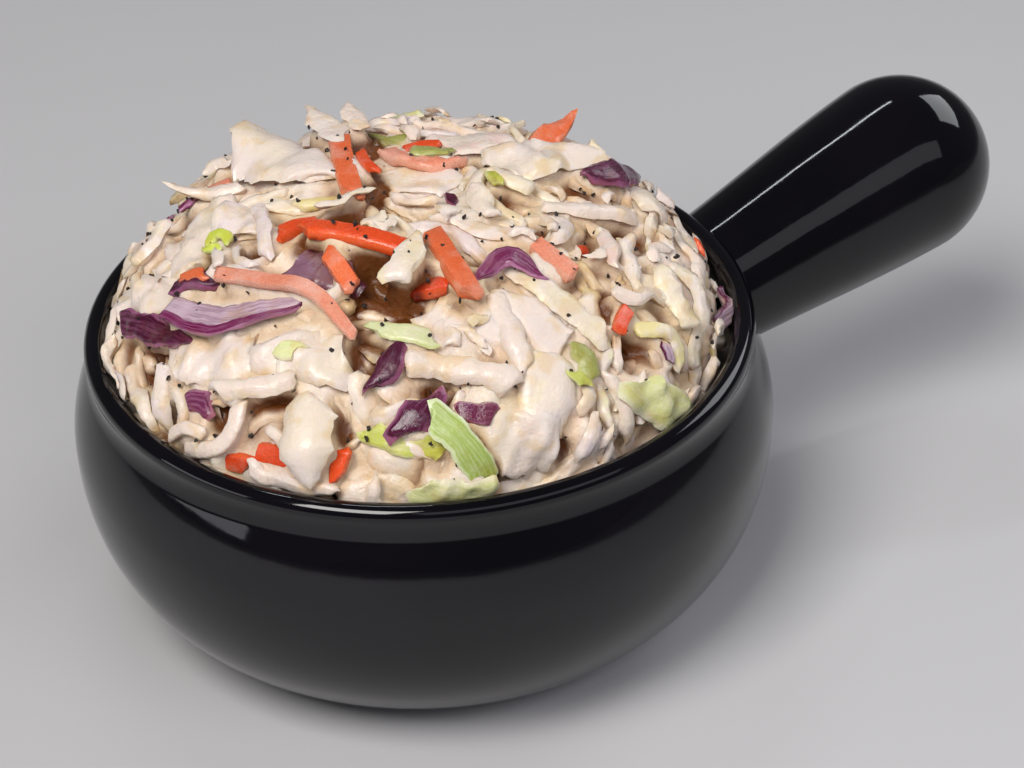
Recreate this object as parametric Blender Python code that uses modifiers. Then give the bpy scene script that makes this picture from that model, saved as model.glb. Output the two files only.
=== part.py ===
"""A round black stoneware crock with one stick handle, heaped with coleslaw.

Sizes are in millimetres and are scaled to metres where meshes are made.
The origin is on the crock's axis at the level it stands on, and the handle points along +X.
"""

import math
import random
from dataclasses import dataclass

import bmesh
import bpy
import numpy as np
from mathutils import Matrix, Vector

MM = 0.001
COLLECTION_NAME = "coleslaw_in_crock"

# Crock body
BELLY_RADIUS = 63.5
BELLY_HEIGHT = 36.2
FOOT_RADIUS = 30.4
BELLY_ROUNDNESS = 2.2
NECK_RADIUS = 59.2
NECK_HEIGHT = 50.6
LIP_CENTRE_RADIUS = 58.0
LIP_CENTRE_HEIGHT = 54.0
LIP_ROUNDING = 2.0
WALL = 4.2
FLOOR = 5.5
BODY_STEPS = 48

# Stick handle, along a line that rises from the crock's axis
HANDLE_START_HEIGHT = 22.6
HANDLE_RISE = math.radians(16.7)
HANDLE_ROOT = 56.0
HANDLE_ROOT_RADIUS = 12.5
HANDLE_CAP_START = 109.2
HANDLE_CAP_RADIUS = 17.6
HANDLE_END = 127.0
HANDLE_STEPS = 26

# Heap: a flat-topped dome of revolution, a little off the crock's axis
HEAP_CENTRE = (-0.9, 0.4)
HEAP_RADIUS = 54.0
HEAP_BASE = 52.5
HEAP_HEIGHT = 27.0
HEAP_SHOULDER = 2.4
HEAP_EDGE = 1.9
SIDE_BOTTOM = 44.0
SIDE_INSET = 1.5
# Bulges of the heap: plan x and y, radius, height
BULGES = ((-19, 23, 15, 3.0), (11, 25, 14, 1.5), (22, -10, 13, 1.0), (-32, -10, 13, 1.0))
CORE_DEPTH = 2.6
CORE_STEPS = 48
CLEARANCE = 0.4
# Plan radius past which a place is counted down the heap's side
SHOULDER_RADIUS = 50.0

# Filler shreds between the pieces that are placed by hand
FILLER_COUNT = 30
FILLER_TRIES = 40
FILLER_SEED = 7
FILLER_REACH = 69.0
# How much less a covered place counts as lacking a filler
COVERED = 2.0
SINK = 0.7
SEGMENT = 5.0
MAP_CELL = 0.6
MAP_REACH = 84.0
TILT_LIMIT = math.tan(math.radians(24))
SAG = 0.028


@dataclass
class Piece:
    """One shred or leaf: its kind, width and route in plan, and how it lies."""

    kind: str
    width: float
    route: tuple
    start: float = 1.0
    end: float = 1.0
    lift: tuple = (0.0, 0.0, 0.0)
    crown: float = 0.0
    ripple: float = 0.0


THICKNESS = {"cabbage": 1.7, "leaf": 1.5, "carrot": 2.4, "red": 1.9, "green": 1.7, "stem": 3.0}

PIECES = (
    Piece("leaf", 18, ((-21, 31), (-19, 22), (-16, 11)), crown=2.0, ripple=0.5, lift=(5.5, 1.0, 0)),
    Piece("leaf", 12, ((-40, 22), (-37, 13), (-37, 5)), crown=2.0, ripple=0.6),
    Piece("leaf", 12, ((-48, 22), (-46, 12), (-43, 4)), crown=1.0, ripple=0.9),
    Piece("leaf", 13, ((15, 9), (24, 4), (32, 1)), crown=0.8, lift=(0, 0.5, 1.5)),
    Piece("leaf", 10, ((-1, 12), (4, 6), (9, 1)), start=0.6, lift=(0.8, 0.5, 0)),
    Piece("leaf", 10, ((-34, 13), (-29, 10), (-24, 8)), crown=0.8, ripple=0.5),
    Piece("leaf", 10, ((3, -30), (5, -36), (6, -42)), crown=1.0),
    Piece("leaf", 10, ((4, -42), (0, -47), (-4, -53)), crown=1.2, end=0.7),
    Piece("leaf", 9, ((-14, -48), (-6, -52), (2, -56)), ripple=0.6),
    Piece("leaf", 12, ((-48, -4), (-43, -14), (-40, -20)), crown=0.6, ripple=0.5),
    Piece("leaf", 11, ((-37, -20), (-34, -26), (-29, -31)), crown=0.8, ripple=0.6),
    Piece("green", 6, ((1, 25), (5, 24), (9, 22)), ripple=0.4),
    Piece("red", 5, ((-50, 14), (-48, 3), (-46, -6)), end=0.35),
    Piece("red", 8, ((-47, 4), (-38, -7), (-29, -14)), end=0.35, lift=(0.5, 0.3, 0)),
    Piece("red", 9, ((-28, -9), (-22, -13), (-16, -17)), ripple=0.4),
    Piece("carrot", 4, ((-21, -9), (-21, -14), (-21, -19))),
    Piece("carrot", 4, ((-25, 1), (-22, 0), (-18, -1))),
    Piece("carrot", 5, ((-22, -3), (-16, -10), (-10, -17))),
    Piece("carrot", 3.4, ((-37, 0), (-31, -10), (-26, -18), (-26, -27)), end=0.7, lift=(0, 1.0, 0)),
    Piece("carrot", 4.5, ((-2, 24), (-7, 11), (-10, 2)), lift=(1.2, 0, 0)),
    Piece("carrot", 4, ((3, 16), (5, 9), (11, 6)), ripple=0.4),
    Piece("carrot", 5, ((-12, -23), (-9, -24), (-6, -25))),
    Piece("carrot", 4.6, ((-3, -12), (-4.5, -21), (-5, -30))),
    Piece("carrot", 4.2, ((11, -21), (13, -26), (15, -30))),
    Piece("carrot", 4.4, ((-50, -22), (-48, -26), (-46, -31))),
    Piece("carrot", 4.6, ((-46, -28), (-44, -32), (-42, -37)), end=0.6),
    Piece("carrot", 7.5, ((26, 13), (31, 14), (37, 13)), end=0.3, lift=(0, 2.0, 6.5)),
    Piece("cabbage", 5, ((-8, -15), (-11, -20), (-16, -23)), start=0.2, lift=(1.0, 0.4, 0)),
    Piece("cabbage", 3, ((-25, 8), (-24, 3), (-27, -4)), lift=(1.0, 0.6, 0)),
    Piece("cabbage", 5, ((4, -20), (10, -33), (15, -41)), crown=0.4),
    Piece("cabbage", 5, ((0, -29), (-1.5, -37), (-2.5, -44)), crown=0.4),
    Piece("cabbage", 6, ((-20, -34), (-13, -39), (-5, -45)), crown=0.6, lift=(0.6, 0.6, 0)),
    Piece("cabbage", 5, ((20, -12), (28, -15), (36, -16)), crown=0.5),
    Piece("cabbage", 6, ((50, -8), (49, -20), (44, -34)), ripple=0.5),
    Piece("cabbage", 4, ((36, -24), (37, -35), (35, -45)), lift=(0, 1.0, 0)),
    Piece("cabbage", 4, ((30, -27), (28, -37), (30, -45)), lift=(0, 1.0, 0)),
    Piece("cabbage", 6, ((13, -42), (14, -50), (14, -58)), crown=0.6),
    Piece("cabbage", 3.6, ((6, -46), (4, -51), (2, -58)), lift=(0, 1.0, 0)),
    Piece("cabbage", 9.5, ((-34, -24), (-38, -34), (-43, -42)), start=0.6, end=0.25, crown=1.8),
    Piece("stem", 4, ((-52, -20), (-48, -25), (-43, -23))),
    Piece("cabbage", 5, ((-46, -18), (-41, -23), (-36, -26)), crown=1.0),
    Piece("red", 6, ((31, -6), (37, -4), (43, 0)), crown=0.6),
    Piece("red", 6, ((-3, -28), (4, -24), (9, -31)), lift=(0, 2.5, 0)),
    Piece("red", 5, ((-29, -34), (-24, -34), (-19, -31)), crown=0.8),
    Piece("green", 6, ((-30, -41), (-24, -46), (-17, -49)), ripple=0.4),
    Piece("red", 8, ((-27, -42), (-22, -43), (-17, -41)), end=0.6, crown=0.6),
    Piece("red", 4.5, ((-17, -43), (-13, -45), (-10, -47))),
    Piece("red", 4.5, ((-51, -12), (-49, -15), (-47, -18))),
    Piece("green", 5, ((-20, -43), (-17, -48), (-15, -54)), lift=(0.8, 0.8, 0.4)),
    Piece("green", 5.5, ((-22, -27), (-18, -30), (-14, -34))),
    Piece("green", 10, ((18, -46), (22, -50), (28, -52)), crown=0.8, ripple=0.5),
    Piece("green", 5, ((6, -41), (8, -44), (9, -47)), crown=1.2),
    Piece("cabbage", 2.6, ((-22, 20), (-26, 24), (-30, 27)), end=0.8, lift=(0, 1.5, 8.0)),
    Piece("cabbage", 3, ((1, 22), (0, 27), (0, 32)), end=0.9, lift=(0, 1.5, 6.5)),
    Piece("cabbage", 2.4, ((2, 21), (2, 26), (4, 31)), end=0.5, lift=(0, 1.0, 4.0)),
)


def superellipse(fraction, across, along):
    """Height fraction of a rounded quarter at a fraction of its radius."""
    return max(0.0, 1.0 - fraction ** across) ** (1.0 / along)


def belly_radius(height):
    """Radius of the crock's outside below its widest ring."""
    drop = (BELLY_HEIGHT - height) / BELLY_HEIGHT
    bulge = superellipse(drop, BELLY_ROUNDNESS, BELLY_ROUNDNESS)
    return FOOT_RADIUS + (BELLY_RADIUS - FOOT_RADIUS) * bulge


def shoulder_radius(height):
    """Radius of the crock's outside from its widest ring up to the neck."""
    rise = (height - BELLY_HEIGHT) / (NECK_HEIGHT - BELLY_HEIGHT)
    return BELLY_RADIUS - (BELLY_RADIUS - NECK_RADIUS) * rise ** 2


def outer_wall():
    """Outside of the crock from the neck down to the foot, as radius and height."""
    upper = [(shoulder_radius(z), z) for z in (NECK_HEIGHT, 46.0, 41.5, BELLY_HEIGHT)]
    lower = [(belly_radius(z), z) for z in (28.0, 20.0, 13.0, 7.5, 3.6, 1.2)]
    return upper + lower + [(FOOT_RADIUS + 2.0, 0.0)]


def inner_wall():
    """Inside of the crock from the floor's rim up to the lip, as radius and height."""
    inner_radius = BELLY_RADIUS - WALL
    floor_radius = FOOT_RADIUS - WALL
    span = BELLY_HEIGHT - FLOOR
    points = []
    for height in (FLOOR, 6.6, 9.5, 14.0, 21.0, 28.5, BELLY_HEIGHT):
        drop = (BELLY_HEIGHT - height) / span
        bulge = superellipse(drop, BELLY_ROUNDNESS, BELLY_ROUNDNESS)
        points.append((floor_radius + (inner_radius - floor_radius) * bulge, height))
    points += [(shoulder_radius(z) - WALL, z) for z in (41.5, 46.0)]
    return points + [(shoulder_radius(NECK_HEIGHT) - WALL + 0.3, NECK_HEIGHT)]


def lip_arc(count=7):
    """Rounded lip from its inner side over the crest to its outer side."""
    points = []
    for index in range(count):
        angle = math.pi * (1.0 - index / (count - 1))
        points.append((LIP_CENTRE_RADIUS + LIP_ROUNDING * math.cos(angle),
                       LIP_CENTRE_HEIGHT + LIP_ROUNDING * math.sin(angle)))
    return points


def hollow_radius(height):
    """Radius of the crock's inside at a height, over the lip's rounding too."""
    outline = inner_wall() + lip_arc()[:4]
    radii = [point[0] for point in outline]
    heights = [point[1] for point in outline]
    return np.interp(height, heights, radii)


def material(name, colour, roughness):
    """Plain material for one node."""
    made = bpy.data.materials.new(name)
    made.use_nodes = True
    shader = made.node_tree.nodes["Principled BSDF"]
    shader.inputs["Base Color"].default_value = (*colour, 1.0)
    shader.inputs["Roughness"].default_value = roughness
    shader.inputs["Metallic"].default_value = 0.0
    made.diffuse_color = (*colour, 1.0)
    return made


def new_object(name, mesh, collection):
    """Object for a mesh, linked to one collection."""
    made = bpy.data.objects.new(name, mesh)
    collection.objects.link(made)
    return made


def turned(name, profile, steps, collection):
    """Solid of revolution from a profile of radius and height that ends on the axis."""
    mesh = bpy.data.meshes.new(name)
    points = [(radius * MM, 0.0, height * MM) for radius, height in profile]
    mesh.from_pydata(points, [(i, i + 1) for i in range(len(points) - 1)], [])
    made = new_object(name, mesh, collection)
    screw = made.modifiers.new("turn", "SCREW")
    screw.steps = steps
    screw.render_steps = steps
    screw.use_merge_vertices = True
    screw.merge_threshold = 0.00005
    screw.use_normal_calculate = False
    return made


def as_guide(made):
    """Mark an object that only shapes another one."""
    made.hide_render = True
    made.display_type = "WIRE"


def boolean(target, operation, operand, solver="EXACT"):
    """Boolean modifier with one object."""
    cut = target.modifiers.new(operation.lower(), "BOOLEAN")
    cut.operation = operation
    cut.object = operand
    cut.solver = solver


def smooth(mesh, angle=40):
    """Smooth shading with sharp edges kept."""
    mesh.shade_smooth()
    mesh.set_sharp_from_angle(angle=math.radians(angle))


def handle_profile():
    """Handle's radius along its axis, from the rounded end back to the root."""
    length = HANDLE_END - HANDLE_CAP_START
    points = []
    for index in range(7):
        angle = math.pi / 2 * (1 - index / 6)
        points.append((HANDLE_CAP_RADIUS * math.cos(angle), HANDLE_CAP_START + length * math.sin(angle)))
    for index in range(1, 7):
        along = 1 - index / 6
        flare = 0.5 * along + 0.5 * along * along * (3 - 2 * along)
        radius = HANDLE_ROOT_RADIUS + (HANDLE_CAP_RADIUS - HANDLE_ROOT_RADIUS) * flare
        points.append((radius, HANDLE_ROOT + (HANDLE_CAP_START - HANDLE_ROOT) * along))
    points[0] = (0.0, HANDLE_END)
    return points + [(0.0, HANDLE_ROOT)]


def make_crock(parts, guides):
    """Turned body with the handle joined to it, the handle's root ending inside the wall."""
    profile = [(0.0, FLOOR)] + inner_wall() + lip_arc() + outer_wall() + [(0.0, 0.0)]
    body = turned("crock", profile, BODY_STEPS, parts)
    handle = turned("handle_form", handle_profile(), HANDLE_STEPS, guides)
    handle.matrix_world = Matrix.Translation((0, 0, HANDLE_START_HEIGHT * MM)) @ Matrix.Rotation(
        math.pi / 2 - HANDLE_RISE, 4, "Y")
    middle = [(radius + WALL * 0.5, height) for radius, height in inner_wall()]
    top = LIP_CENTRE_HEIGHT + 4.0
    plug_profile = [(0.0, top), (LIP_CENTRE_RADIUS, top)] + middle[:0:-1] + [(0.0, FLOOR)]
    plug = turned("wall_form", plug_profile, BODY_STEPS, guides)
    boolean(handle, "DIFFERENCE", plug)
    boolean(body, "UNION", handle)
    as_guide(handle)
    as_guide(plug)
    body.data.materials.append(material("black_glaze", (0.012, 0.011, 0.014), 0.12))
    return body


class Heap:
    """The heap's smooth form, unrolled to a flat map, and the height of what lies on it."""

    def __init__(self, depth):
        radius, height = self.profile()
        self.radius = radius
        self.height = height
        self.reach = np.concatenate([[0.0], np.cumsum(np.hypot(np.diff(radius), np.diff(height)))])
        along = np.gradient(radius, self.reach), np.gradient(height, self.reach)
        self.normal_radius = -along[1]
        self.normal_height = along[0]
        self.pivot = 20.0
        self.angle = np.arctan2(radius, height - self.pivot)
        self.shoulder = np.interp(SHOULDER_RADIUS, radius[radius < HEAP_RADIUS * 0.999],
                                  self.reach[radius < HEAP_RADIUS * 0.999])
        self.size = int(2 * MAP_REACH / MAP_CELL)
        axis = (np.arange(self.size) + 0.5) * MAP_CELL - MAP_REACH
        spots = np.stack(np.meshgrid(axis, axis, indexing="ij"), -1)
        self.target = self.bulge(self.place(spots)[0])
        self.level = self.target - depth
        self.kept_free = np.zeros_like(self.level)

    def profile(self):
        """Radius and height from the top, over the shoulder and down the side."""
        turn = np.linspace(0, math.pi / 2, 90)
        radius = HEAP_RADIUS * np.sin(turn) ** 0.8
        height = np.array([superellipse(r / HEAP_RADIUS, HEAP_SHOULDER, HEAP_EDGE) for r in radius])
        fall = np.linspace(0, 1, 20)[1:]
        side_radius = HEAP_RADIUS - SIDE_INSET * fall ** 2
        side_height = HEAP_BASE - (HEAP_BASE - SIDE_BOTTOM) * fall
        return (np.concatenate([radius, side_radius]),
                np.concatenate([HEAP_BASE + HEAP_HEIGHT * height, side_height]))

    def bulge(self, points):
        """Height that the heap's bulges add at points of its form."""
        added = np.zeros(points.shape[:-1])
        for x, y, radius, height in BULGES:
            away = np.hypot(points[..., 0] - x, points[..., 1] - y)
            added += height * np.exp(-(away / radius) ** 2)
        return added

    def place(self, spots):
        """Points and outward normals on the smooth form for spots of the map."""
        far = np.hypot(spots[..., 0], spots[..., 1])
        way = spots / np.maximum(far, 1e-6)[..., None]
        radius = np.interp(far, self.reach, self.radius)
        height = np.interp(far, self.reach, self.height)
        out = np.interp(far, self.reach, self.normal_radius)
        up = np.interp(far, self.reach, self.normal_height)
        points = np.stack([HEAP_CENTRE[0] + radius * way[..., 0], HEAP_CENTRE[1] + radius * way[..., 1],
                           height], -1)
        normals = np.stack([out * way[..., 0], out * way[..., 1], up], -1)
        return points, normals / np.linalg.norm(normals, axis=-1, keepdims=True)

    def spot(self, points):
        """Spots of the map for points near the form."""
        x = points[..., 0] - HEAP_CENTRE[0]
        y = points[..., 1] - HEAP_CENTRE[1]
        flat = np.hypot(x, y)
        far = np.interp(np.arctan2(flat, points[..., 2] - self.pivot), self.angle, self.reach)
        return np.stack([x, y], -1) * (far / np.maximum(flat, 1e-6))[..., None]

    def from_plan(self, x, y):
        """Spot of the map for a place in plan, counted down the side past the shoulder."""
        x -= HEAP_CENTRE[0]
        y -= HEAP_CENTRE[1]
        flat = math.hypot(x, y)
        inside = self.radius < HEAP_RADIUS * 0.999
        far = np.interp(flat, self.radius[inside], self.reach[inside])
        if flat > SHOULDER_RADIUS:
            far = self.shoulder + flat - SHOULDER_RADIUS
        return np.array([x, y]) * far / max(flat, 1e-6)

    def cell(self, spots):
        """Cells of the level map under spots."""
        index = ((spots + MAP_REACH) / MAP_CELL).astype(int)
        index = np.clip(index, 0, self.size - 1)
        return index[..., 0], index[..., 1]

    def keep_free(self, spots, width):
        """Note that a piece placed by hand will cover the map along its route."""
        along = np.gradient(spots, axis=0)
        side = np.stack([-along[:, 1], along[:, 0]], -1) / np.linalg.norm(along, axis=1, keepdims=True)
        steps = np.linspace(-0.5, 0.5, 9)
        over = spots[:, None] + side[:, None] * (steps[None, :, None] * width)
        self.kept_free[self.cell(over)] = 1.0

    def lay(self, spots, width, thickness, stiffness=SAG):
        """Let a strip along the map sink onto what lies there and raise the level under it.

        Returns its middle points, its side and up directions, all on the upper face's frame.
        """
        points, normals = self.place(spots)
        along = np.gradient(points, axis=0)
        along /= np.linalg.norm(along, axis=1, keepdims=True)
        side = np.cross(normals, along)
        side /= np.linalg.norm(side, axis=1, keepdims=True)
        steps = np.linspace(-0.5, 0.5, 7)
        over = points[:, None] + side[:, None] * (steps[None, :, None] * width[:, None, None])
        below = self.level[self.cell(self.spot(over))]
        left = below[:, :3].max(1)
        right = below[:, 4:].max(1)
        slope = np.clip((right - left) / np.maximum(width * 0.7, 0.5), -TILT_LIMIT, TILT_LIMIT)
        slope = smoothed(slope, 4)
        need = (below - slope[:, None] * steps[None] * width[:, None]).max(1)
        travel = np.concatenate([[0.0], np.cumsum(np.linalg.norm(np.diff(points, axis=0), axis=1))])
        gap = travel[:, None] - travel[None]
        rest = smoothed((need[None] - stiffness * gap ** 2).max(1), 3)
        upper = rest + thickness - SINK
        raised = upper[:, None] + slope[:, None] * steps[None] * width[:, None]
        rows, columns = self.cell(self.spot(over))
        np.maximum.at(self.level, (rows, columns), raised)
        tilt = np.arctan(slope)[:, None]
        middle = points + normals * (upper - thickness * 0.5)[:, None]
        across = side * np.cos(tilt) + normals * np.sin(tilt)
        up = normals * np.cos(tilt) - side * np.sin(tilt)
        return middle, across, up


def smoothed(values, rounds):
    """Values averaged with their neighbours a few times."""
    for _ in range(rounds):
        padded = np.concatenate([values[:1], values, values[-1:]])
        values = (padded[:-2] + 2 * padded[1:-1] + padded[2:]) / 4
    return values


def through(route, spacing=1.0):
    """Even points along a smooth curve through a route's spots."""
    route = np.asarray(route, float)
    padded = np.concatenate([[2 * route[0] - route[1]], route, [2 * route[-1] - route[-2]]])
    dense = []
    for index in range(len(route) - 1):
        a, b, c, d = padded[index:index + 4]
        for t in np.linspace(0, 1, 12, endpoint=False):
            dense.append(0.5 * (2 * b + (c - a) * t + (2 * a - 5 * b + 4 * c - d) * t ** 2
                                + (3 * b - a - 3 * c + d) * t ** 3))
    dense = np.array(dense + [route[-1]])
    travel = np.concatenate([[0.0], np.cumsum(np.linalg.norm(np.diff(dense, axis=0), axis=1))])
    count = max(4, int(round(travel[-1] / spacing)) + 1)
    even = np.linspace(0, travel[-1], count)
    return np.stack([np.interp(even, travel, dense[:, k]) for k in (0, 1)], -1)


def width_along(piece, count):
    """Width of a piece from its start to its end, with its ends drawn in."""
    t = np.linspace(0, 1, count)
    start = piece.start + (1 - piece.start) * np.sin(np.clip(t / 0.5, 0, 1) * math.pi / 2)
    end = piece.end + (1 - piece.end) * np.sin(np.clip((1 - t) / 0.5, 0, 1) * math.pi / 2)
    return piece.width * np.minimum(start, end)


def lift_along(lift, count):
    """Extra height from the start, by the middle, to the end."""
    t = np.linspace(0, 1, count)
    ends = lift[0] * np.clip(1 - 2 * t, 0, 1) ** 1.6 + lift[2] * np.clip(2 * t - 1, 0, 1) ** 1.6
    return ends + lift[1] * np.sin(math.pi * t) ** 2


def inside_crock(points, thickness):
    """Middle points of a piece pulled in so that its faces clear the crock's wall and lip."""
    x, y, z = points.T
    flat = np.hypot(x, y)
    margin = CLEARANCE + thickness * 0.5
    crest = LIP_CENTRE_HEIGHT + LIP_ROUNDING
    limit = np.where(z < crest + margin, hollow_radius(z - thickness * 0.5) - margin, np.inf)
    scale = np.minimum(1.0, limit / np.maximum(flat, 1e-6))
    return np.stack([x * scale, y * scale, z], -1)


def strip_object(name, heap, piece, spots, collection):
    """One piece as an open strip of triangles with a Solidify modifier."""
    thickness = THICKNESS[piece.kind]
    width = width_along(piece, len(spots))
    middle, across, up = heap.lay(spots, width, thickness)
    middle = middle + up * lift_along(piece.lift, len(spots))[:, None]
    travel = np.linalg.norm(np.diff(middle, axis=0), axis=1).sum()
    rows = max(3, int(round(travel / SEGMENT)) + 1)
    picked = np.linspace(0, len(spots) - 1, rows).round().astype(int)
    columns = 2 if piece.width < 7.5 and piece.crown < 1.0 else 4
    mesh = bpy.data.meshes.new(name)
    grid = bmesh.new()
    bmesh.ops.create_grid(grid, x_segments=rows - 1, y_segments=columns - 1, size=1.0)
    for vertex in grid.verts:
        row = picked[int(round((vertex.co.x + 1) / 2 * (rows - 1)))]
        v = vertex.co.y
        wave = piece.ripple * math.sin(row * 0.75 + v * 2.0) + piece.crown * (1 - v * v)
        place = middle[row] + across[row] * (v * width[row] / 2) + up[row] * wave
        place = inside_crock(place[None], thickness)[0]
        vertex.co = Vector(place) * MM
    bmesh.ops.triangulate(grid, faces=grid.faces[:])
    grid.to_mesh(mesh)
    grid.free()
    made = new_object(name, mesh, collection)
    shell = made.modifiers.new("thickness", "SOLIDIFY")
    shell.thickness = thickness * MM
    shell.offset = 0.0
    return made


def filler_route(heap, draw):
    """Spots of a random shred that lies where the heap still lacks the most."""
    best = None
    for _ in range(FILLER_TRIES):
        far = FILLER_REACH * math.sqrt(draw.random())
        turn = draw.uniform(0, 2 * math.pi)
        centre = np.array([math.cos(turn), math.sin(turn)]) * far
        heading = draw.uniform(0, math.pi)
        way = np.array([math.cos(heading), math.sin(heading)])
        length = draw.uniform(16, 32)
        sideways = np.array([-way[1], way[0]]) * draw.uniform(-0.2, 0.2) * length
        route = np.array([centre - way * length / 2, centre + sideways, centre + way * length / 2])
        spots = through(route)
        cells = heap.cell(spots)
        if np.hypot(*spots.T).max() > FILLER_REACH + 2:
            continue
        lack = (heap.target[cells] - heap.level[cells] - COVERED * heap.kept_free[cells]).mean()
        if best is None or lack > best[0]:
            best = (lack, spots)
    return best[1]


def core_profile(heap):
    """Core inside the crock and up to the smooth form less the depth of the top layer."""
    inside = [(radius - CLEARANCE, height + CLEARANCE) for radius, height in inner_wall()
              if height < SIDE_BOTTOM - 4]
    picked = [72, 64, 57, 50, 44, 38, 32, 26, 20, 14, 8]
    outer = [(heap.radius[i] - heap.normal_radius[i] * CORE_DEPTH,
              heap.height[i] - heap.normal_height[i] * CORE_DEPTH) for i in picked]
    neck = [(HEAP_RADIUS - CORE_DEPTH - SIDE_INSET, SIDE_BOTTOM + 2),
            (HEAP_RADIUS - CORE_DEPTH, HEAP_BASE)]
    top = (0.0, HEAP_BASE + HEAP_HEIGHT - CORE_DEPTH)
    rising = [(0.0, FLOOR + CLEARANCE)] + inside + neck + outer + [top]
    return rising[::-1]


def make_coleslaw(parts):
    """Heap of coleslaw as one solid: a core with shreds and leaves joined to it."""
    heap = Heap(CORE_DEPTH)
    shreds = bpy.data.collections.new("shreds")
    bpy.context.scene.collection.children.link(shreds)
    core = turned("core", core_profile(heap), CORE_STEPS, parts)
    core_mesh = evaluated_mesh(core, "coleslaw_core")
    for vertex in core_mesh.vertices:
        spot = np.array(vertex.co) / MM
        if spot[2] > HEAP_BASE:
            vertex.co.z += float(heap.bulge(spot)) * MM
    bpy.data.objects.remove(core)
    heap_object = new_object("coleslaw", core_mesh, parts)
    routes = [through([heap.from_plan(x, y) for x, y in piece.route]) for piece in PIECES]
    for piece, spots in zip(PIECES, routes):
        heap.keep_free(spots, piece.width)
    draw = random.Random(FILLER_SEED)
    for index in range(FILLER_COUNT):
        filler = Piece("cabbage", draw.uniform(4.0, 8.0), (), start=0.7, end=0.7)
        spots = filler_route(heap, draw)
        strip_object(f"filler_{index}", heap, filler, spots, shreds)
    for index, (piece, spots) in enumerate(zip(PIECES, routes)):
        strip_object(f"piece_{index}", heap, piece, spots, shreds)
    join = heap_object.modifiers.new("join", "BOOLEAN")
    join.operation = "UNION"
    join.operand_type = "COLLECTION"
    join.collection = shreds
    join.solver = "MANIFOLD"
    joined = evaluated_mesh(heap_object, "coleslaw_joined")
    heap_object.modifiers.remove(join)
    heap_object.data = joined
    for made in list(shreds.objects):
        bpy.data.objects.remove(made)
    bpy.data.collections.remove(shreds)
    keep_largest(joined)
    joined.materials.clear()
    joined.materials.append(material("dressed_cabbage", (0.80, 0.70, 0.56), 0.4))
    return heap_object


def evaluated_mesh(made, name):
    """Mesh of an object with its modifiers applied."""
    graph = bpy.context.evaluated_depsgraph_get()
    graph.update()
    mesh = bpy.data.meshes.new_from_object(made.evaluated_get(graph))
    mesh.name = name
    return mesh


def keep_largest(mesh):
    """Drop every loose scrap and every sealed hollow, and keep the largest closed surface."""
    work = bmesh.new()
    work.from_mesh(mesh)
    bmesh.ops.triangulate(work, faces=work.faces[:])
    waiting = set(work.faces)
    islands = []
    while waiting:
        stack = [waiting.pop()]
        island = list(stack)
        while stack:
            for edge in stack.pop().edges:
                for face in edge.link_faces:
                    if face in waiting:
                        waiting.remove(face)
                        stack.append(face)
                        island.append(face)
        islands.append(island)
    islands.sort(key=len)
    loose = [face for island in islands[:-1] for face in island]
    bmesh.ops.delete(work, geom=loose, context="FACES")
    work.to_mesh(mesh)
    work.free()


def main():
    for existing in list(bpy.data.objects):
        bpy.data.objects.remove(existing)
    parts = bpy.data.collections.new(COLLECTION_NAME)
    guides = bpy.data.collections.new("guides")
    bpy.context.scene.collection.children.link(parts)
    bpy.context.scene.collection.children.link(guides)
    crock = make_crock(parts, guides)
    coleslaw = make_coleslaw(parts)
    smooth(crock.data)
    smooth(coleslaw.data, 30)


main()
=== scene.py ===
"""Looks of a heap of coleslaw in a round black stoneware crock with one stick handle.

The heap's sizes are in millimetres here and are scaled to metres where meshes are made.
The origin is on the crock's axis at the level it stands on, and the handle points along +X.
"""

import math
import random
from dataclasses import dataclass

import bmesh
import bpy
import numpy as np
from bpy.props import FloatProperty, FloatVectorProperty, IntProperty, PointerProperty
from mathutils import Matrix, Vector
from mathutils.noise import noise_vector, seed_set


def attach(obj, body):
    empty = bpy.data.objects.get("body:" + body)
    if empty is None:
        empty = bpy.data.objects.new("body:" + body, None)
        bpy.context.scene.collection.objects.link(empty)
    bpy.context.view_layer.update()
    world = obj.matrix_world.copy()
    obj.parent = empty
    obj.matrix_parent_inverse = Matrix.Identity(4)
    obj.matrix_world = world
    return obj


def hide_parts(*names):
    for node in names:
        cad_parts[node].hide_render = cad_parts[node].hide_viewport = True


bl_info = {
    "name": "Coleslaw crock",
    "version": (1, 0, 0),
    "blender": (4, 5, 0),
    "location": "3D View > Sidebar > Coleslaw",
    "description": "Dresses a heap of coleslaw and its handled stoneware crock",
    "category": "Object",
}

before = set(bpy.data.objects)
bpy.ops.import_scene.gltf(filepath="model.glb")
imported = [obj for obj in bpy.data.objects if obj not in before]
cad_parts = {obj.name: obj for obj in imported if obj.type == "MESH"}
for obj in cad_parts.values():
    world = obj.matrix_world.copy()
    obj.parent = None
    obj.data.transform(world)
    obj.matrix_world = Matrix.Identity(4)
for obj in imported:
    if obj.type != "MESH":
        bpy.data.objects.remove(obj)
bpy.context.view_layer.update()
MM = 0.001

# Crock in profile: squareness of the belly's curve, and steps round the body and the handle
BELLY_ROUNDNESS = 2.2
BODY_STEPS = 224
HANDLE_STEPS = 72
# Flat ring under the crock: how far past the foot's radius it lies, its width and the recess inside it
RING_OFFSET = 2.0
RING_WIDTH = 3.0
RECESS = 1.0
# Times that the search for the crock's wall halves its step
WALL_HALVINGS = 40
# Height under which a face that looks down this far is the ring's bare clay
RING_FLATNESS = 0.05
RING_DOWNWARD = -0.7
# Angle past which an edge of the crock is crisp
CROCK_ANGLE = math.radians(38)

# Heap: a flat-topped dome of revolution, a little off the crock's axis
HEAP_CENTRE = (-0.9, 0.4)
HEAP_BASE = 52.5
HEAP_SHOULDER = 2.4
HEAP_EDGE = 1.9
SIDE_BOTTOM = 44.0
SIDE_INSET = 1.5
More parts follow.
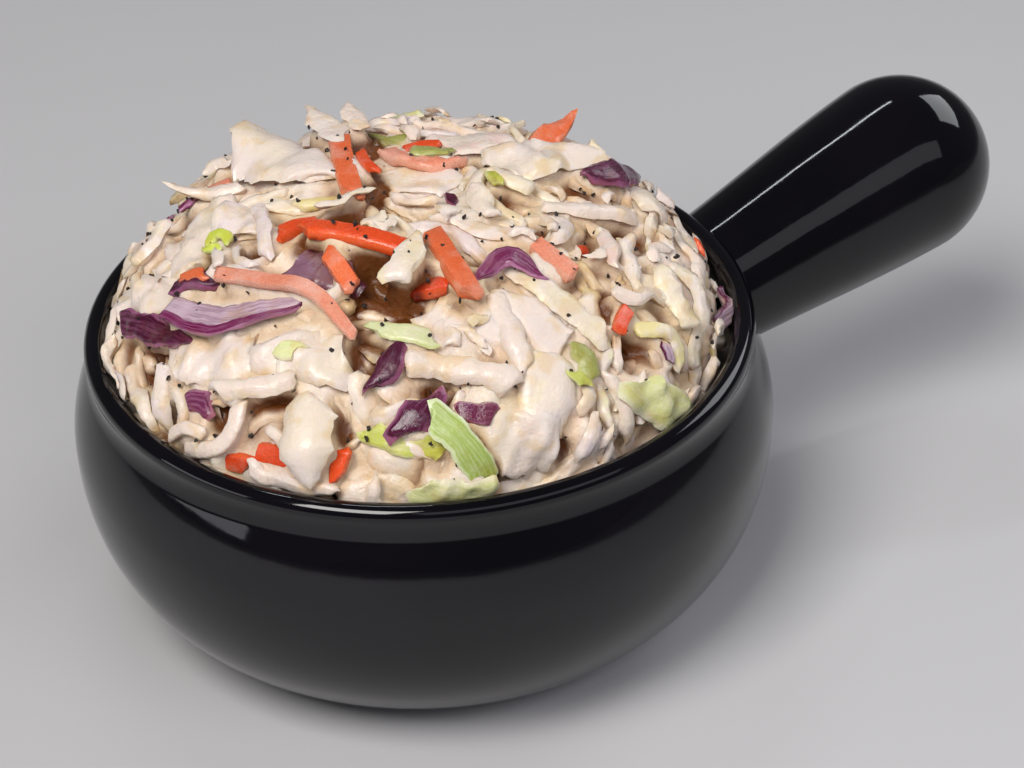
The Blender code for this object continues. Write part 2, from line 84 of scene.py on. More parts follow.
# Places along the dome and down the side, how they crowd to the rim, and the share that counts as the dome
DOME_STEPS = 90
SIDE_STEPS = 20
RIM_CROWDING = 0.8
JUST_INSIDE = 0.999
# Height on the axis from which each direction meets the heap's form once
HEAP_PIVOT = 20.0
# Bulges of the heap: plan x and y, radius, height
BULGES = ((-19, 23, 15, 3.0), (11, 25, 14, 1.5), (22, -10, 13, 1.0), (-32, -10, 13, 1.0))
# Crevices between the shreds: plan x and y, radius, depth
HOLLOWS = (
    (-50, 0, 2.6, 4.0), (-49, -23, 2.6, 4.5), (-43, -27, 2.4, 4.5), (5, -48, 1.8, 4.5), (-2, -51, 2.2, 5.0),
    (-1, -56, 2.0, 5.0), (29, -41, 1.6, 4.5), (31, -44, 1.8, 4.5), (-40, 0, 2.0, 4.0), (8, -44, 1.8, 4.0),
    (-20, 6, 2.2, 4.0), (24, -14, 2.2, 4.5), (23, -22, 2.0, 4.5), (-10, -27, 2.4, 4.5),
    (-13, -29, 2.4, 4.5), (-17, -20, 2.2, 4.5), (-20, -31, 2.0, 4.5), (-29, -31, 2.2, 4.0),
    (-23, -39, 2.0, 4.0), (-36, -16, 2.0, 3.5), (-35, -22, 2.0, 4.0), (-1, 6, 2.0, 4.0), (-4, -1, 2.2, 4.0),
    (15, -5, 1.8, 3.5), (5, -16, 1.8, 4.0),
    (-36, -42, 2.0, 4.5), (-8, -57, 2.0, 4.0), (13, -59, 2.0, 4.5), (21, -40, 2.0, 4.0), (22, -56, 2.0, 4.0),
    (-54, -3, 2.0, 4.0), (-57, -9, 2.0, 4.0), (-37, 9, 2.2, 4.0), (18, -32, 2.0, 4.0), (36, -20, 2.0, 4.0),
    (0, 33, 2.4, 4.0), (20, 24, 2.4, 4.0), (36, 14, 2.4, 4.0), (-20, 44, 2.4, 4.0), (10, 48, 2.4, 4.0),
    (32, 36, 2.4, 4.0), (50, 12, 2.4, 4.0), (-44, 34, 2.4, 4.0), (-8, 54, 2.4, 4.0), (46, -4, 2.0, 4.0),
)
# Plan radius past which a place is counted down the heap's side
SHOULDER_RADIUS = 50.0

# Map of the heap's surface: size of a cell, reach each way and reach of what is strewn
MAP_CELL = 0.6
MAP_REACH = 84.0
FILLER_REACH = 69.0

# Random shreds: tries for the emptiest place, failures in a row that end a layer, and the mean room
# in millimetres that each needs
FILLER_TRIES = 26
FILLER_PATIENCE = 25
FILLER_ROOM = 0.2
# Factors on the width of the random shreds, and how many shreds of a hundred have each
BROADER = (1.0, 1.5, 2.3)
BROADER_WEIGHTS = (70, 22, 8)
# Lengths of the deep and the cover shreds, and widths of the cover shreds, against the others
SHORTER = 0.8
SLIMMER = 0.78
# Depth of a crevice that no random shred may bridge, and how far it may stand out over one
OPEN_PIT = 1.4
PIT_BRIDGE = 1.0
# How far each layer of random shreds may pass the heap's form
DEEP_CEILING = -4.4
UNDER_CEILING = -2.1
OVER_CEILING = -0.3
# How much lower the shreds stay under and beside the listed pieces, and how softly that ends
OVERLAID = 1.2
OVERLAID_ROUNDS = 6
KEEP_OFF = 40.0
KEEP_OFF_ROUNDS = 2
# Small bits: tries for the emptiest place, how far they may pass the form, and how near they may come to the
# listed pieces
BIT_TRIES = 3
BIT_CEILING = 0.6
BIT_NEARNESS = 0.04
BIT_ROUNDS = 8
# Plan x past which most shreds run towards the front, and the mean and spread of their bearing
RIGHT_START = 10.0
RIGHT_HEADING = (math.radians(-102), 0.5)

# A piece's route: points of its curve between two places, fewest points, and their spacing once even
CURVE_STEPS = 12
FEWEST_POINTS = 6
SPACING = 0.55
# How a piece settles: how deep it sinks in and how steeply it may tilt
SINK = 0.3
TILT_LIMIT = math.tan(math.radians(32))
BROAD_TILT = math.tan(math.radians(12))
BROAD_WIDTH = 7
# Sag along limp and stiff pieces and across them
SAG = 0.022
STIFF_SAG = 0.012
SAG_ACROSS = 0.06
# Places across a piece where it is felt for, and the middle one of them
CROSS_STEPS = np.linspace(-0.5, 0.5, 9)
CROSS_MIDDLE = 4
# Rounds of smoothing along a piece for its drape, its slope and its rest
DRAPE_ROUNDS = 4
SLOPE_ROUNDS = 8
REST_ROUNDS = 6
# Share of the width between the means of the two halves, and the least that counts
HALVES_APART = 0.55
LEAST_APART = 0.5

# Gap to the crock, radius within which pieces above the lip stay, height past which all is lowered, and
# the share of the rest that is kept
CLEARANCE = 0.4
REACH_OVER_LIP = 57.2
HIGH = 82.2
HIGH_SHARE = 0.7
# Surface from which depths are counted: how far high places are widened, and rounds of softening
SURFACE_CELLS = 3
SURFACE_ROUNDS = 5

# Core: points round it, spacing of its rings, rings inside the crock, and how far it lies under the shreds
CORE_STEPS = 460
CORE_PITCH = 0.6
CORE_RINGS_INSIDE = 16
CORE_DROP = 0.5
CORE_WAVES = ((3.4, 0.6), (1.4, 0.2))

# Widths of the nested lights in front, so that their reflection has a soft edge, and their height to width
FRONT_WIDTHS = (0.88, 0.76, 0.64, 0.52)
FRONT_SHAPE = 0.36

# Pepper: spacing of the sheet that it is strewn on, its gap to the heap's edge, its height over the shreds,
# and size and amount of its grains' brokenness
PEPPER_PITCH = 1.2
PEPPER_MARGIN = 6
PEPPER_RISE = 0.3
PEPPER_BREAKS = 1900.0
PEPPER_BROKEN = 0.0009


def length(name, value, description):
    """Property for a length in millimetres."""
    return FloatProperty(name=name, description=description, default=value * MM, unit="LENGTH",
                         subtype="DISTANCE", precision=5)


def colour(name, value, description):
    """Property for a colour."""
    return FloatVectorProperty(name=name, description=description, default=value, size=3, min=0.0,
                               max=1.0, subtype="COLOR")


class CrockSizes(bpy.types.PropertyGroup):
    """Sizes of the stoneware crock."""

    belly_radius: length("Belly radius", 63.5, "Radius of the widest ring")
    belly_height: length("Belly height", 36.2, "Height of the widest ring")
    foot_radius: length("Foot radius", 30.4, "Radius where the belly's curve meets the ground")
    neck_radius: length("Neck radius", 59.2, "Radius just under the lip")
    neck_height: length("Neck height", 50.6, "Height just under the lip")
    lip_radius: length("Lip radius", 58.0, "Radius of the middle of the lip's rounding")
    lip_height: length("Lip height", 54.0, "Height of the middle of the lip's rounding")
    lip_rounding: length("Lip rounding", 2.0, "Radius of the lip's rounding")
    wall: length("Wall", 4.2, "Thickness of the wall")
    floor: length("Floor", 5.5, "Thickness of the floor")
    handle_height: length("Handle line height", 22.6, "Height where the handle's axis meets the crock's axis")
    handle_rise: FloatProperty(name="Handle rise", description="Slope of the handle's axis",
                               default=math.radians(16.7), unit="ROTATION", subtype="ANGLE")
    root_radius: length("Handle root radius", 12.5, "Radius of the handle at its root")
    root_distance: length("Handle root distance", 56.0, "Distance of the handle's root along its axis")
    cap_radius: length("Handle cap radius", 17.6, "Radius of the handle's round end")
    cap_start: length("Handle cap start", 109.2, "Distance where the round end starts")
    handle_end: length("Handle end", 127.0, "Distance of the handle's tip")


class HeapSizes(bpy.types.PropertyGroup):
    """Sizes of the heap and its shreds."""

    radius: length("Heap radius", 54.0, "Radius of the heap where it leaves the crock")
    height: length("Heap height", 27.0, "Height of the heap above its base")
    depth: length("Layer depth", 6.0, "Depth of the loose layer over the core")
    deep_count: IntProperty(name="Deep shreds", description="Number of shreds laid first, over the core",
                            default=520)
    shred_count: IntProperty(name="Shreds", description="Number of fine cabbage shreds", default=700)
    cover_count: IntProperty(name="Cover shreds", description="Shreds laid last of all", default=420)
    bit_count: IntProperty(name="Bits", description="Number of small bits strewn over the heap", default=110)
    shred_narrow: length("Narrowest shred", 1.9, "Width of the narrowest cabbage shred")
    shred_wide: length("Widest shred", 4.4, "Width of the widest cabbage shred")
    shred_short: length("Shortest shred", 11.0, "Length of the shortest cabbage shred")
    shred_long: length("Longest shred", 38.0, "Length of the longest cabbage shred")
    pepper_size: length("Pepper grain", 0.5, "Radius of a coarse pepper grain")
    pepper_density: FloatProperty(name="Pepper density", description="Pepper grains per square metre",
                                  default=25000.0)
    seed: IntProperty(name="Seed", description="Seed of all that is scattered", default=11)


class SaladColours(bpy.types.PropertyGroup):
    """Colours of the salad and the glaze."""

    dressing: colour("Dressing", (0.82, 0.705, 0.635), "Cream dressing")
    dressing_warm: colour("Warm dressing", (0.81, 0.695, 0.56), "Cream dressing where it is thicker")
    # The hollow and crevice colours are painted shade: tints multiplied over what lies under the top, mild a
    # little under it and dark and warm deep between the shreds
    hollow: colour("Hollow", (0.90, 0.79, 0.62), "Tint of what lies a little under the top")
    crevice_shade: colour("Crevice", (0.21, 0.085, 0.026), "Tint of what lies deep between the shreds")
    pepper: colour("Pepper", (0.018, 0.012, 0.009), "Ground pepper")
    glaze: colour("Glaze", (0.0018, 0.0014, 0.0024), "Black glaze")
    clay: colour("Clay", (0.36, 0.29, 0.22), "Bare clay of the foot")


class StageSettings(bpy.types.PropertyGroup):
    """Floor, light and camera."""

    floor_colour: colour("Floor", (0.57, 0.563, 0.57), "Pale floor")
    key_power: FloatProperty(name="Key light", description="Power of the large light", default=10.1,
                             unit="POWER")
    fill_power: FloatProperty(name="Fill light", description="Power of the side light", default=1.8,
                              unit="POWER")
    front_power: FloatProperty(name="Front light", description="Power of the soft light in front",
                               default=2.5, unit="POWER")
    left_power: FloatProperty(name="Left light", description="Power of the low light on the left",
                              default=0.6, unit="POWER")
    back_power: FloatProperty(name="Back light", description="Power of the narrow light behind",
                              default=0.5, unit="POWER")
    sky: FloatProperty(name="Sky", description="Strength of the surroundings", default=0.08)
    camera_distance: FloatProperty(name="Camera distance", description="From the heap to the camera",
                                   default=0.5, unit="LENGTH", subtype="DISTANCE")
    camera_azimuth: FloatProperty(name="Camera azimuth", description="Bearing of the view",
                                  default=math.radians(-26.0), unit="ROTATION", subtype="ANGLE")
    camera_elevation: FloatProperty(name="Camera elevation", description="Height of the view",
                                    default=math.radians(34.27), unit="ROTATION", subtype="ANGLE")


@dataclass
class Piece:
    """One shred or leaf: its kind, tone, width and route in plan, and how it lies."""

    kind: str
    tone: str
    width: float
    route: tuple
    start: float = 1.0
    end: float = 1.0
    lift: tuple = (0.0, 0.0, 0.0)
    crown: float = 0.0
    ripple: float = 0.0
    coat: float = 0.5
    roll: float = 0.0


# Thickness of each kind, and the most that it is of a piece's width
THICKNESS = {"cabbage": 1.6, "leaf": 1.3, "bit": 1.0, "carrot": 2.3, "red": 1.5, "green": 1.2, "stem": 2.4}
FLATNESS = 0.55
# Columns across the upper face of each kind
COLUMNS = {"cabbage": 6, "leaf": 13, "bit": 4, "carrot": 6, "red": 9, "green": 9, "stem": 7}
# How square each kind's cut edges are
SQUARENESS = {"cabbage": 3.6, "leaf": 6.0, "bit": 2.4, "carrot": 5.0, "red": 5.0, "green": 5.0, "stem": 2.4}
# How uneven each kind's two edges are, as a share of its half width
ROUGHNESS_OF_CUT = {"cabbage": 0.10, "leaf": 0.07, "bit": 0.2, "carrot": 0.03, "red": 0.08, "green": 0.07,
                    "stem": 0.05}
# Kinds that don't drape over what lies below
RIGID = ("carrot", "stem", "red", "green")
# Kinds with crisp even cuts, and how close the columns stand to the edges of these and of the others
STIFF = ("carrot", "stem")
CUT_CROWDING = 0.4
LEAF_CROWDING = 0.8
# Angle past which a cut edge is crisp
CUT_ANGLE = math.radians(58)
# Sizes and amounts of the random waves in each soft kind
WAVES = {"cabbage": ((6.0, 0.6), (2.2, 0.12)), "leaf": ((7.0, 0.8), (2.4, 0.15)),
         "bit": ((3.0, 0.5), (1.2, 0.1)), "red": ((4.0, 0.3),), "green": ((4.0, 0.3),)}
# Pace and amount of the waves along the left and the right edge and in the thickness
LEFT_WAVES = ((0.8, 1.0), (2.3, 0.7))
RIGHT_WAVES = ((0.9, 1.0), (2.0, 0.7))
PLUMP_WAVES = ((0.7, 0.20), (1.9, 0.12))
# Share of its width and thickness that a piece keeps at its very ends
END_WIDTH = 0.35
END_THICKNESS = 0.15
# Range of a random phase
PHASES = 6.3
# How often each tone comes among the shreds laid at random
SHRED_TONES = {"cream": 50, "ivory": 24, "lilac_white": 12, "blush": 6, "butter": 5, "pale_lime": 3}

# Colour of the face and of the cut edge for each tone
TONES = {
    "cream": ((0.85, 0.705, 0.62), (0.84, 0.68, 0.54)),
    "blush": ((0.80, 0.60, 0.54), (0.82, 0.64, 0.52)),
    "lilac_white": ((0.79, 0.67, 0.66), (0.82, 0.70, 0.64)),
    "ivory": ((0.83, 0.72, 0.55), (0.80, 0.68, 0.44)),
    "butter": ((0.80, 0.70, 0.36), (0.76, 0.66, 0.28)),
    "pale_lime": ((0.70, 0.72, 0.32), (0.80, 0.76, 0.50)),
    "pale_green": ((0.66, 0.68, 0.38), (0.58, 0.62, 0.26)),
    "lime": ((0.54, 0.58, 0.09), (0.68, 0.70, 0.28)),
    "lime_bright": ((0.58, 0.64, 0.07), (0.70, 0.74, 0.28)),
    "leaf_green": ((0.38, 0.50, 0.10), (0.70, 0.78, 0.45)),
    # The dull olive green below is partly the leaf's own colour and partly painted shade, darker as inside a
    # curled leaf
    "shaded_olive": ((0.36, 0.38, 0.10), (0.48, 0.50, 0.18)),
    "carrot": ((0.82, 0.085, 0.018), (0.84, 0.13, 0.03)),
    "carrot_light": ((0.84, 0.17, 0.055), (0.86, 0.25, 0.11)),
    "salmon": ((0.85, 0.31, 0.19), (0.86, 0.44, 0.31)),
    "purple": ((0.060, 0.003, 0.022), (0.30, 0.09, 0.19)),
    "magenta": ((0.14, 0.006, 0.058), (0.42, 0.17, 0.30)),
    "lilac": ((0.60, 0.44, 0.52), (0.11, 0.008, 0.06)),
    "mauve": ((0.24, 0.12, 0.17), (0.10, 0.010, 0.045)),
}

# Tint of carrot cells and of glassy patches in the dressing, and how far red, green and blue light go in
CELL_TINT = (0.72, 0.40, 0.34, 1.0)
CLEAR_TINT = (0.93, 0.83, 0.60, 1.0)
LIGHT_REACH = (1.0, 0.60, 0.36)

# Pieces placed one by one: kind, tone, width and route in plan
PIECES = (
    Piece("leaf", "cream", 13, ((-17, 31), (-14, 20), (-10, 10)), end=0.45, crown=1.8, ripple=0.2,
          lift=(5.0, 1.0, 0), coat=0.95),
    Piece("leaf", "cream", 8, ((-26, 22), (-34, 15), (-41, 9)), start=0.7, crown=1.4, ripple=0.5, coat=0.85),
    Piece("leaf", "cream", 10, ((-48, 20), (-46, 13), (-42, 9)), crown=0.8, ripple=0.9, coat=0.8),
    Piece("leaf", "blush", 9, ((13, 16), (18, 13), (26, 13)), crown=0.8, lift=(0, 0.5, 0.5), coat=0.6),
    Piece("leaf", "cream", 12, ((18, 3), (26, 2), (33, 3)), crown=1.2, ripple=0.6, lift=(0, 1.2, 1.6),
          coat=0.85),
    Piece("leaf", "cream", 9, ((-1, 12), (4, 6), (9, 1)), start=0.6, lift=(0.8, 0.5, 0), coat=0.8),
    Piece("leaf", "lilac_white", 9, ((-30, 16), (-28, 10), (-27, 5)), crown=0.8, ripple=0.6, coat=0.6),
    Piece("leaf", "butter", 3, ((-19, 9), (-14, 7), (-9, 6)), crown=0.5, coat=0.3),
    Piece("leaf", "cream", 9, ((3, -30), (5, -36), (6, -42)), crown=1.0, coat=0.7),
    Piece("leaf", "ivory", 10, ((4, -42), (0, -47), (-4, -53)), crown=1.2, end=0.7, coat=0.7),
    Piece("leaf", "cream", 11, ((-14, -49), (-8, -52), (-1, -55)), crown=0.8, ripple=0.6, coat=0.8),
    Piece("leaf", "cream", 11, ((-48, -4), (-43, -14), (-40, -20)), crown=0.6, ripple=0.6, coat=0.85),
    Piece("leaf", "cream", 10, ((-37, -18), (-33, -24), (-28, -29)), crown=0.8, ripple=0.7, coat=0.9),
    Piece("leaf", "cream", 6, ((42, -3), (42, -8), (41, -13)), crown=1.0, lift=(0, 0.8, 0), coat=0.8),
    Piece("green", "shaded_olive", 5, ((2, 25), (5, 24), (8, 21)), ripple=0.4, coat=0.3),
    Piece("red", "purple", 5, ((-50, 13), (-48, 2), (-46, -6)), end=0.35, coat=0.2),
    Piece("red", "lilac", 5.4, ((-45, 3), (-40, -8), (-29, -15)), end=0.3, lift=(0.5, 0.5, 0.2), coat=0.3),
    Piece("red", "magenta", 1.8, ((-46, 1), (-42, -10), (-30, -17)), end=0.3, lift=(0.5, 0.7, 0.4), coat=0.1),
    Piece("red", "purple", 3.5, ((-43, 5), (-40, 3), (-37, -2)), end=0.4, lift=(0.4, 0.8, 0.2), coat=0.15),
    Piece("red", "mauve", 8, ((-27, -7), (-23, -11), (-19, -16)), ripple=0.4, lift=(0.4, 0.9, 0.3), coat=0.3),
    Piece("carrot", "carrot_light", 3.6, ((-21, -9), (-21, -14), (-21, -19)), coat=0.2),
    Piece("carrot", "carrot", 4, ((-25, 2), (-22, 2), (-18, 0)), coat=0.2),
    Piece("carrot", "carrot", 4.6, ((-22, -3), (-16, -10), (-10, -17)), coat=0.15),
    Piece("carrot", "salmon", 3.2, ((-37, 0), (-32, -8), (-27, -16), (-25, -27)), end=0.6,
          lift=(0.4, 1.0, 0.3), coat=0.4),
    Piece("carrot", "carrot_light", 4.2, ((-3, 23), (-7, 12), (-10, 3)), lift=(1.2, 0, 0), coat=0.3),
    Piece("carrot", "carrot", 2.2, ((-3, 14), (-4, 10), (-4, 6)), coat=0.2),
    Piece("carrot", "salmon", 3.2, ((3, 17), (4, 12), (8, 7), (14, 7)), end=0.5, ripple=0.3,
          lift=(0.6, 0.6, 0), coat=0.4),
    Piece("carrot", "carrot", 4.4, ((-12, -23), (-9, -24), (-6, -25)), coat=0.15),
    Piece("carrot", "carrot_light", 4.4, ((-3, -12), (-4.5, -21), (-5, -30)), coat=0.3),
    Piece("carrot", "salmon", 3.8, ((12, -21), (13, -25), (15, -30)), coat=0.2),
    Piece("carrot", "carrot", 3.6, ((-54, -24), (-52, -27), (-50, -30)), coat=0.1),
    Piece("carrot", "carrot", 3.6, ((-48, -29), (-45, -32), (-43, -36)), end=0.6, coat=0.1),
    Piece("carrot", "carrot", 3, ((-39, -41), (-37, -41), (-34, -39)), coat=0.1),
    Piece("carrot", "carrot_light", 5.2, ((31, 11), (33.5, 13), (37, 13.5)), end=0.08, lift=(0.5, 3.0, 8.5),
          ripple=0.5, coat=0.3),
    Piece("cabbage", "ivory", 5, ((-8, -15), (-11, -20), (-16, -23)), start=0.2, lift=(1.0, 0.4, 0)),
    Piece("cabbage", "lilac_white", 2.8, ((-24, 11), (-26, 4), (-29, -3)), lift=(1.0, 0.8, 0.2)),
    Piece("cabbage", "ivory", 5, ((4, -20), (10, -33), (15, -41)), crown=0.4),
    Piece("cabbage", "cream", 4.4, ((0, -29), (-1.5, -37), (-2.5, -44)), crown=0.4),
    Piece("cabbage", "cream", 5, ((-20, -34), (-13, -39), (-5, -45)), crown=0.6, lift=(0.6, 0.6, 0)),
    Piece("cabbage", "cream", 4, ((19, -12), (27, -14), (37, -14)), crown=0.5),
    Piece("cabbage", "ivory", 3.4, ((15, 1), (17, -4), (20, -7)), crown=0.4, lift=(0.4, 0.4, 0)),
    Piece("cabbage", "ivory", 5, ((50, -8), (49, -20), (44, -34)), ripple=0.5),
    Piece("cabbage", "cream", 3.4, ((46, -12), (43, -24), (38, -34)), lift=(0.3, 1.0, 0.3)),
    Piece("cabbage", "ivory", 3.6, ((36, -26), (38, -30), (35, -45)), lift=(0, 1.0, 0)),
    Piece("cabbage", "butter", 3, ((21, -40), (27, -41), (28, -46)), lift=(0, 1.0, 0)),
    Piece("cabbage", "cream", 3.4, ((12, -46), (14, -52), (14, -58)), crown=0.6, lift=(0.4, 0.8, 0.2)),
    Piece("cabbage", "lilac_white", 2.6, ((8, -47), (6, -49), (4, -51)), lift=(0.3, 1.0, 0.3)),
    Piece("cabbage", "lilac_white", 2.8, ((7, -52), (4, -55), (2, -58)), end=0.4, lift=(0.3, 1.0, 0.3)),
    Piece("cabbage", "cream", 3, ((-49, -30), (-48, -34), (-44, -39), (-39, -44)), end=0.6, lift=(0, 0.5, 0)),
    Piece("cabbage", "cream", 2.2, ((-43, -28), (-42, -31), (-42, -34)), lift=(0.3, 0.6, 0.2)),
    Piece("cabbage", "cream", 9.3, ((-35, -30), (-38, -35), (-41.5, -40.5)), start=0.55, end=0.02,
          crown=1.4, lift=(0.3, 1.2, 0.6), coat=0.95),
    Piece("stem", "cream", 3, ((-57, -18), (-51, -24), (-47, -24), (-44, -22)), lift=(0.4, 0.8, 0), coat=0.5),
    Piece("stem", "cream", 2.4, ((-57, -14), (-53, -17), (-51, -21)), lift=(0.3, 0.5, 0), coat=0.5),
    Piece("cabbage", "cream", 4, ((-46, -18), (-41, -23), (-36, -26)), crown=0.8),
    Piece("red", "purple", 6.5, ((30, -6), (35, -5), (44, 1)), start=0.4, end=0.3, crown=0.6,
          lift=(0, 0.6, 1.0), coat=0.1),
    Piece("red", "magenta", 4.4, ((-1, -26), (5, -24), (9, -29)), start=0.3, end=0.3,
          lift=(0.2, 1.2, 0.2), coat=0.1),
    Piece("red", "purple", 4.6, ((-27, -35), (-23, -34), (-19, -31)), start=0.3, end=0.4, crown=0.8,
          coat=0.1),
    Piece("green", "lime", 4.4, ((-30, -39), (-26, -43), (-19, -48)), ripple=0.4, coat=0.3),
    Piece("red", "purple", 6.4, ((-25, -43), (-22, -42), (-19, -41)), end=0.6, crown=0.6, coat=0.1),
    Piece("red", "magenta", 4, ((-16, -44), (-13, -46), (-10, -47)), coat=0.1),
    Piece("red", "magenta", 4.2, ((-51, -13), (-49, -15), (-48, -18)), coat=0.1),
    Piece("green", "leaf_green", 5.4, ((-20, -43), (-17, -49), (-16, -55)), lift=(0.8, 0.8, 0.4), coat=0.1),
    Piece("green", "pale_green", 4, ((-22, -27), (-18, -30), (-14, -34)), coat=0.4),
    Piece("green", "pale_lime", 8, ((16, -48), (21, -51), (28, -54)), crown=0.8, ripple=0.6, coat=0.4),
    Piece("green", "shaded_olive", 4, ((7, -42), (9, -44), (8, -47)), crown=1.0, coat=0.2),
    Piece("green", "lime", 2.4, ((4.5, -45.5), (5.5, -46.5), (6.5, -47.5)), lift=(0.4, 0.6, 0.4), coat=0.0),
    Piece("cabbage", "cream", 3, ((-22, 23), (-26, 25), (-31, 28)), end=0.5, lift=(0, 1.0, 7.0)),
    Piece("cabbage", "cream", 6, ((-3, 20), (-3.5, 26), (-4.5, 31)), end=0.75, lift=(0, 1.2, 3.6)),
    Piece("cabbage", "cream", 4, ((1, 20), (1.5, 25), (2, 30)), end=0.6, lift=(0, 0.8, 2.4)),
    Piece("cabbage", "cream", 3, ((10, 23), (10, 21), (10, 18)), lift=(0.6, 0.8, 0.2)),
    Piece("carrot", "carrot", 2.8, ((6, 16), (10, 16), (13, 14.5)), coat=0.2),
    Piece("green", "shaded_olive", 3.4, ((6, 13), (9, 11.5), (13, 10)), coat=0.2),
    Piece("carrot", "carrot_light", 2.6, ((-41, 4), (-39, 3), (-38, 1)), coat=0.2),
    Piece("carrot", "salmon", 2.6, ((-26, 30), (-24.5, 29), (-22, 27)), coat=0.2),
    Piece("carrot", "carrot", 2, ((-11, 20), (-9.5, 20.5), (-8, 21)), coat=0.2),
    Piece("carrot", "carrot", 2.8, ((21, -37), (18.5, -39), (16.5, -41)), coat=0.2),
    Piece("carrot", "carrot", 2, ((23, -20), (22.5, -22), (22, -24)), coat=0.3),
    Piece("carrot", "carrot", 2, ((50, -13), (50.5, -14.5), (51, -16)), coat=0.3),
    Piece("red", "purple", 2, ((6, -2), (5.5, -4), (5, -6)), end=0.4, coat=0.1),
    Piece("red", "magenta", 3.4, ((-31, 28), (-29.5, 29), (-28, 30)), coat=0.2),
    Piece("red", "lilac", 4.5, ((50, -25), (50, -29), (47, -34)), lift=(1.6, 2.4, 1.0), coat=0.2),
    Piece("red", "lilac", 2, ((24, -42), (24.5, -43.5), (25, -45)), lift=(0.3, 0.4, 0.3), coat=0.2),
    Piece("green", "lime_bright", 2.2, ((-34.5, 8.5), (-33, 10), (-31.5, 8.5), (-32, 6)),
          lift=(0.4, 1.0, 0.4), coat=0.0),
    Piece("green", "lime_bright", 2.0, ((-35, 8), (-35, 6.5), (-33.5, 5)), lift=(0.4, 0.7, 0.4), coat=0.0),
    Piece("green", "pale_lime", 3.6, ((-36, -20), (-35, -21.6), (-33, -23)), end=0.3, coat=0.1),
    Piece("green", "lime", 2.2, ((14, -1), (14, -3), (14, -5)), coat=0.2),
    Piece("green", "pale_lime", 6, ((-27, -51), (-21, -55), (-15, -57)), ripple=0.5, coat=0.3),
    Piece("carrot", "carrot", 3.4, ((-20, 43), (-13, 47), (-6, 48)), coat=0.2),
    Piece("carrot", "salmon", 3, ((10, 46), (15, 43), (17, 49)), coat=0.4),
    Piece("carrot", "carrot_light", 3.2, ((42, 24), (45, 15), (50, 10)), coat=0.3),
    Piece("red", "purple", 3.6, ((24, 42), (31, 38), (37, 31)), start=0.3, end=0.4, coat=0.1),
    Piece("red", "magenta", 3.4, ((-34, 38), (-30, 44), (-26, 49)), end=0.4, coat=0.1),
    Piece("leaf", "cream", 9, ((-6, 46), (0, 53), (4, 59)), crown=0.8, ripple=0.5, coat=0.8),
    Piece("leaf", "ivory", 8, ((36, 34), (42, 38), (46, 43)), crown=0.8, ripple=0.5, coat=0.7),
    Piece("green", "pale_green", 4.6, ((-28, 50), (-22, 55), (-16, 57)), ripple=0.4, coat=0.3),
)


def rounded_quarter(fraction, across, along):
    """Height fraction of a rounded quarter at a fraction of its radius."""
    return np.maximum(0.0, 1.0 - fraction ** across) ** (1.0 / along)


def belly_curve(narrow, wide, low, high, count):
    """Radius and height from the widest ring down to the foot."""
    turn = np.linspace(0, math.pi / 2, count)
    radius = narrow + (wide - narrow) * np.cos(turn) ** (2 / BELLY_ROUNDNESS)
    height = high - (high - low) * np.sin(turn) ** (2 / BELLY_ROUNDNESS)
    return [(r, h) for r, h in zip(radius, height)]


def shoulder_curve(sizes, inset, count, top):
    """Radius and height from the widest ring up towards the neck."""
    points = []
    for rise in np.linspace(0, top, count):
        radius = sizes.belly_radius - (sizes.belly_radius - sizes.neck_radius) * rise ** 2 - inset
        points.append((radius, sizes.belly_height + (sizes.neck_height - sizes.belly_height) * rise))
    return points


def lip_curve(sizes, count=15):
    """Rounded lip from its inner side over the crest to its outer side."""
    turn = np.linspace(math.radians(190), math.radians(-25), count)
    return [(sizes.lip_radius + sizes.lip_rounding * math.cos(t),
             sizes.lip_height + sizes.lip_rounding * math.sin(t)) for t in turn]


def inner_curve(sizes):
    """Inside of the crock from the middle of the floor up to the lip."""
    rising = belly_curve(sizes.foot_radius - sizes.wall, sizes.belly_radius - sizes.wall, sizes.floor,
                         sizes.belly_height, 22)[::-1]
    return rising + shoulder_curve(sizes, sizes.wall, 8, 0.92)[1:]


def crock_profile(sizes):
    """Crock's whole outline from the middle of its floor, over the lip, to the middle of its base."""
    outer = shoulder_curve(sizes, 0.0, 12, 0.96)[::-1]
    belly = belly_curve(sizes.foot_radius, sizes.belly_radius, 0.0, sizes.belly_height, 40)[1:-3]
    recess = RECESS * MM
    outside = sizes.foot_radius + RING_OFFSET * MM
    inside = outside - RING_WIDTH * MM
    foot = [(outside + 0.6 * MM, 0.0), (inside, 0.0), (inside - 0.6 * MM, recess * 0.4),
            (inside - 1.6 * MM, recess)]
    return ([(0.0, sizes.floor)] + inner_curve(sizes) + lip_curve(sizes) + outer + belly + foot
            + [(0.0, recess)])


def ring_faces(rings, steps):
    """Faces of a closed shell of rings of points between a first point and a last one."""
    last = 1 + rings * steps
    faces = []
    for i in range(steps):
        j = (i + 1) % steps
        faces.append((0, 1 + i, 1 + j))
        for low in range(1, last - steps, steps):
            faces.append((low + i, low + steps + i, low + steps + j, low + j))
        faces.append((last - steps + i, last, last - steps + j))
    return faces


def lathe(profile, steps):
    """Points and faces of a closed turned shell whose profile starts and ends on the axis."""
    turn = np.arange(steps) * 2 * math.pi / steps
    rings = [(r * math.cos(t), r * math.sin(t), h) for r, h in profile[1:-1] for t in turn]
    points = [(0.0, 0.0, profile[0][1])] + rings + [(0.0, 0.0, profile[-1][1])]
    return points, ring_faces(len(profile) - 2, steps)


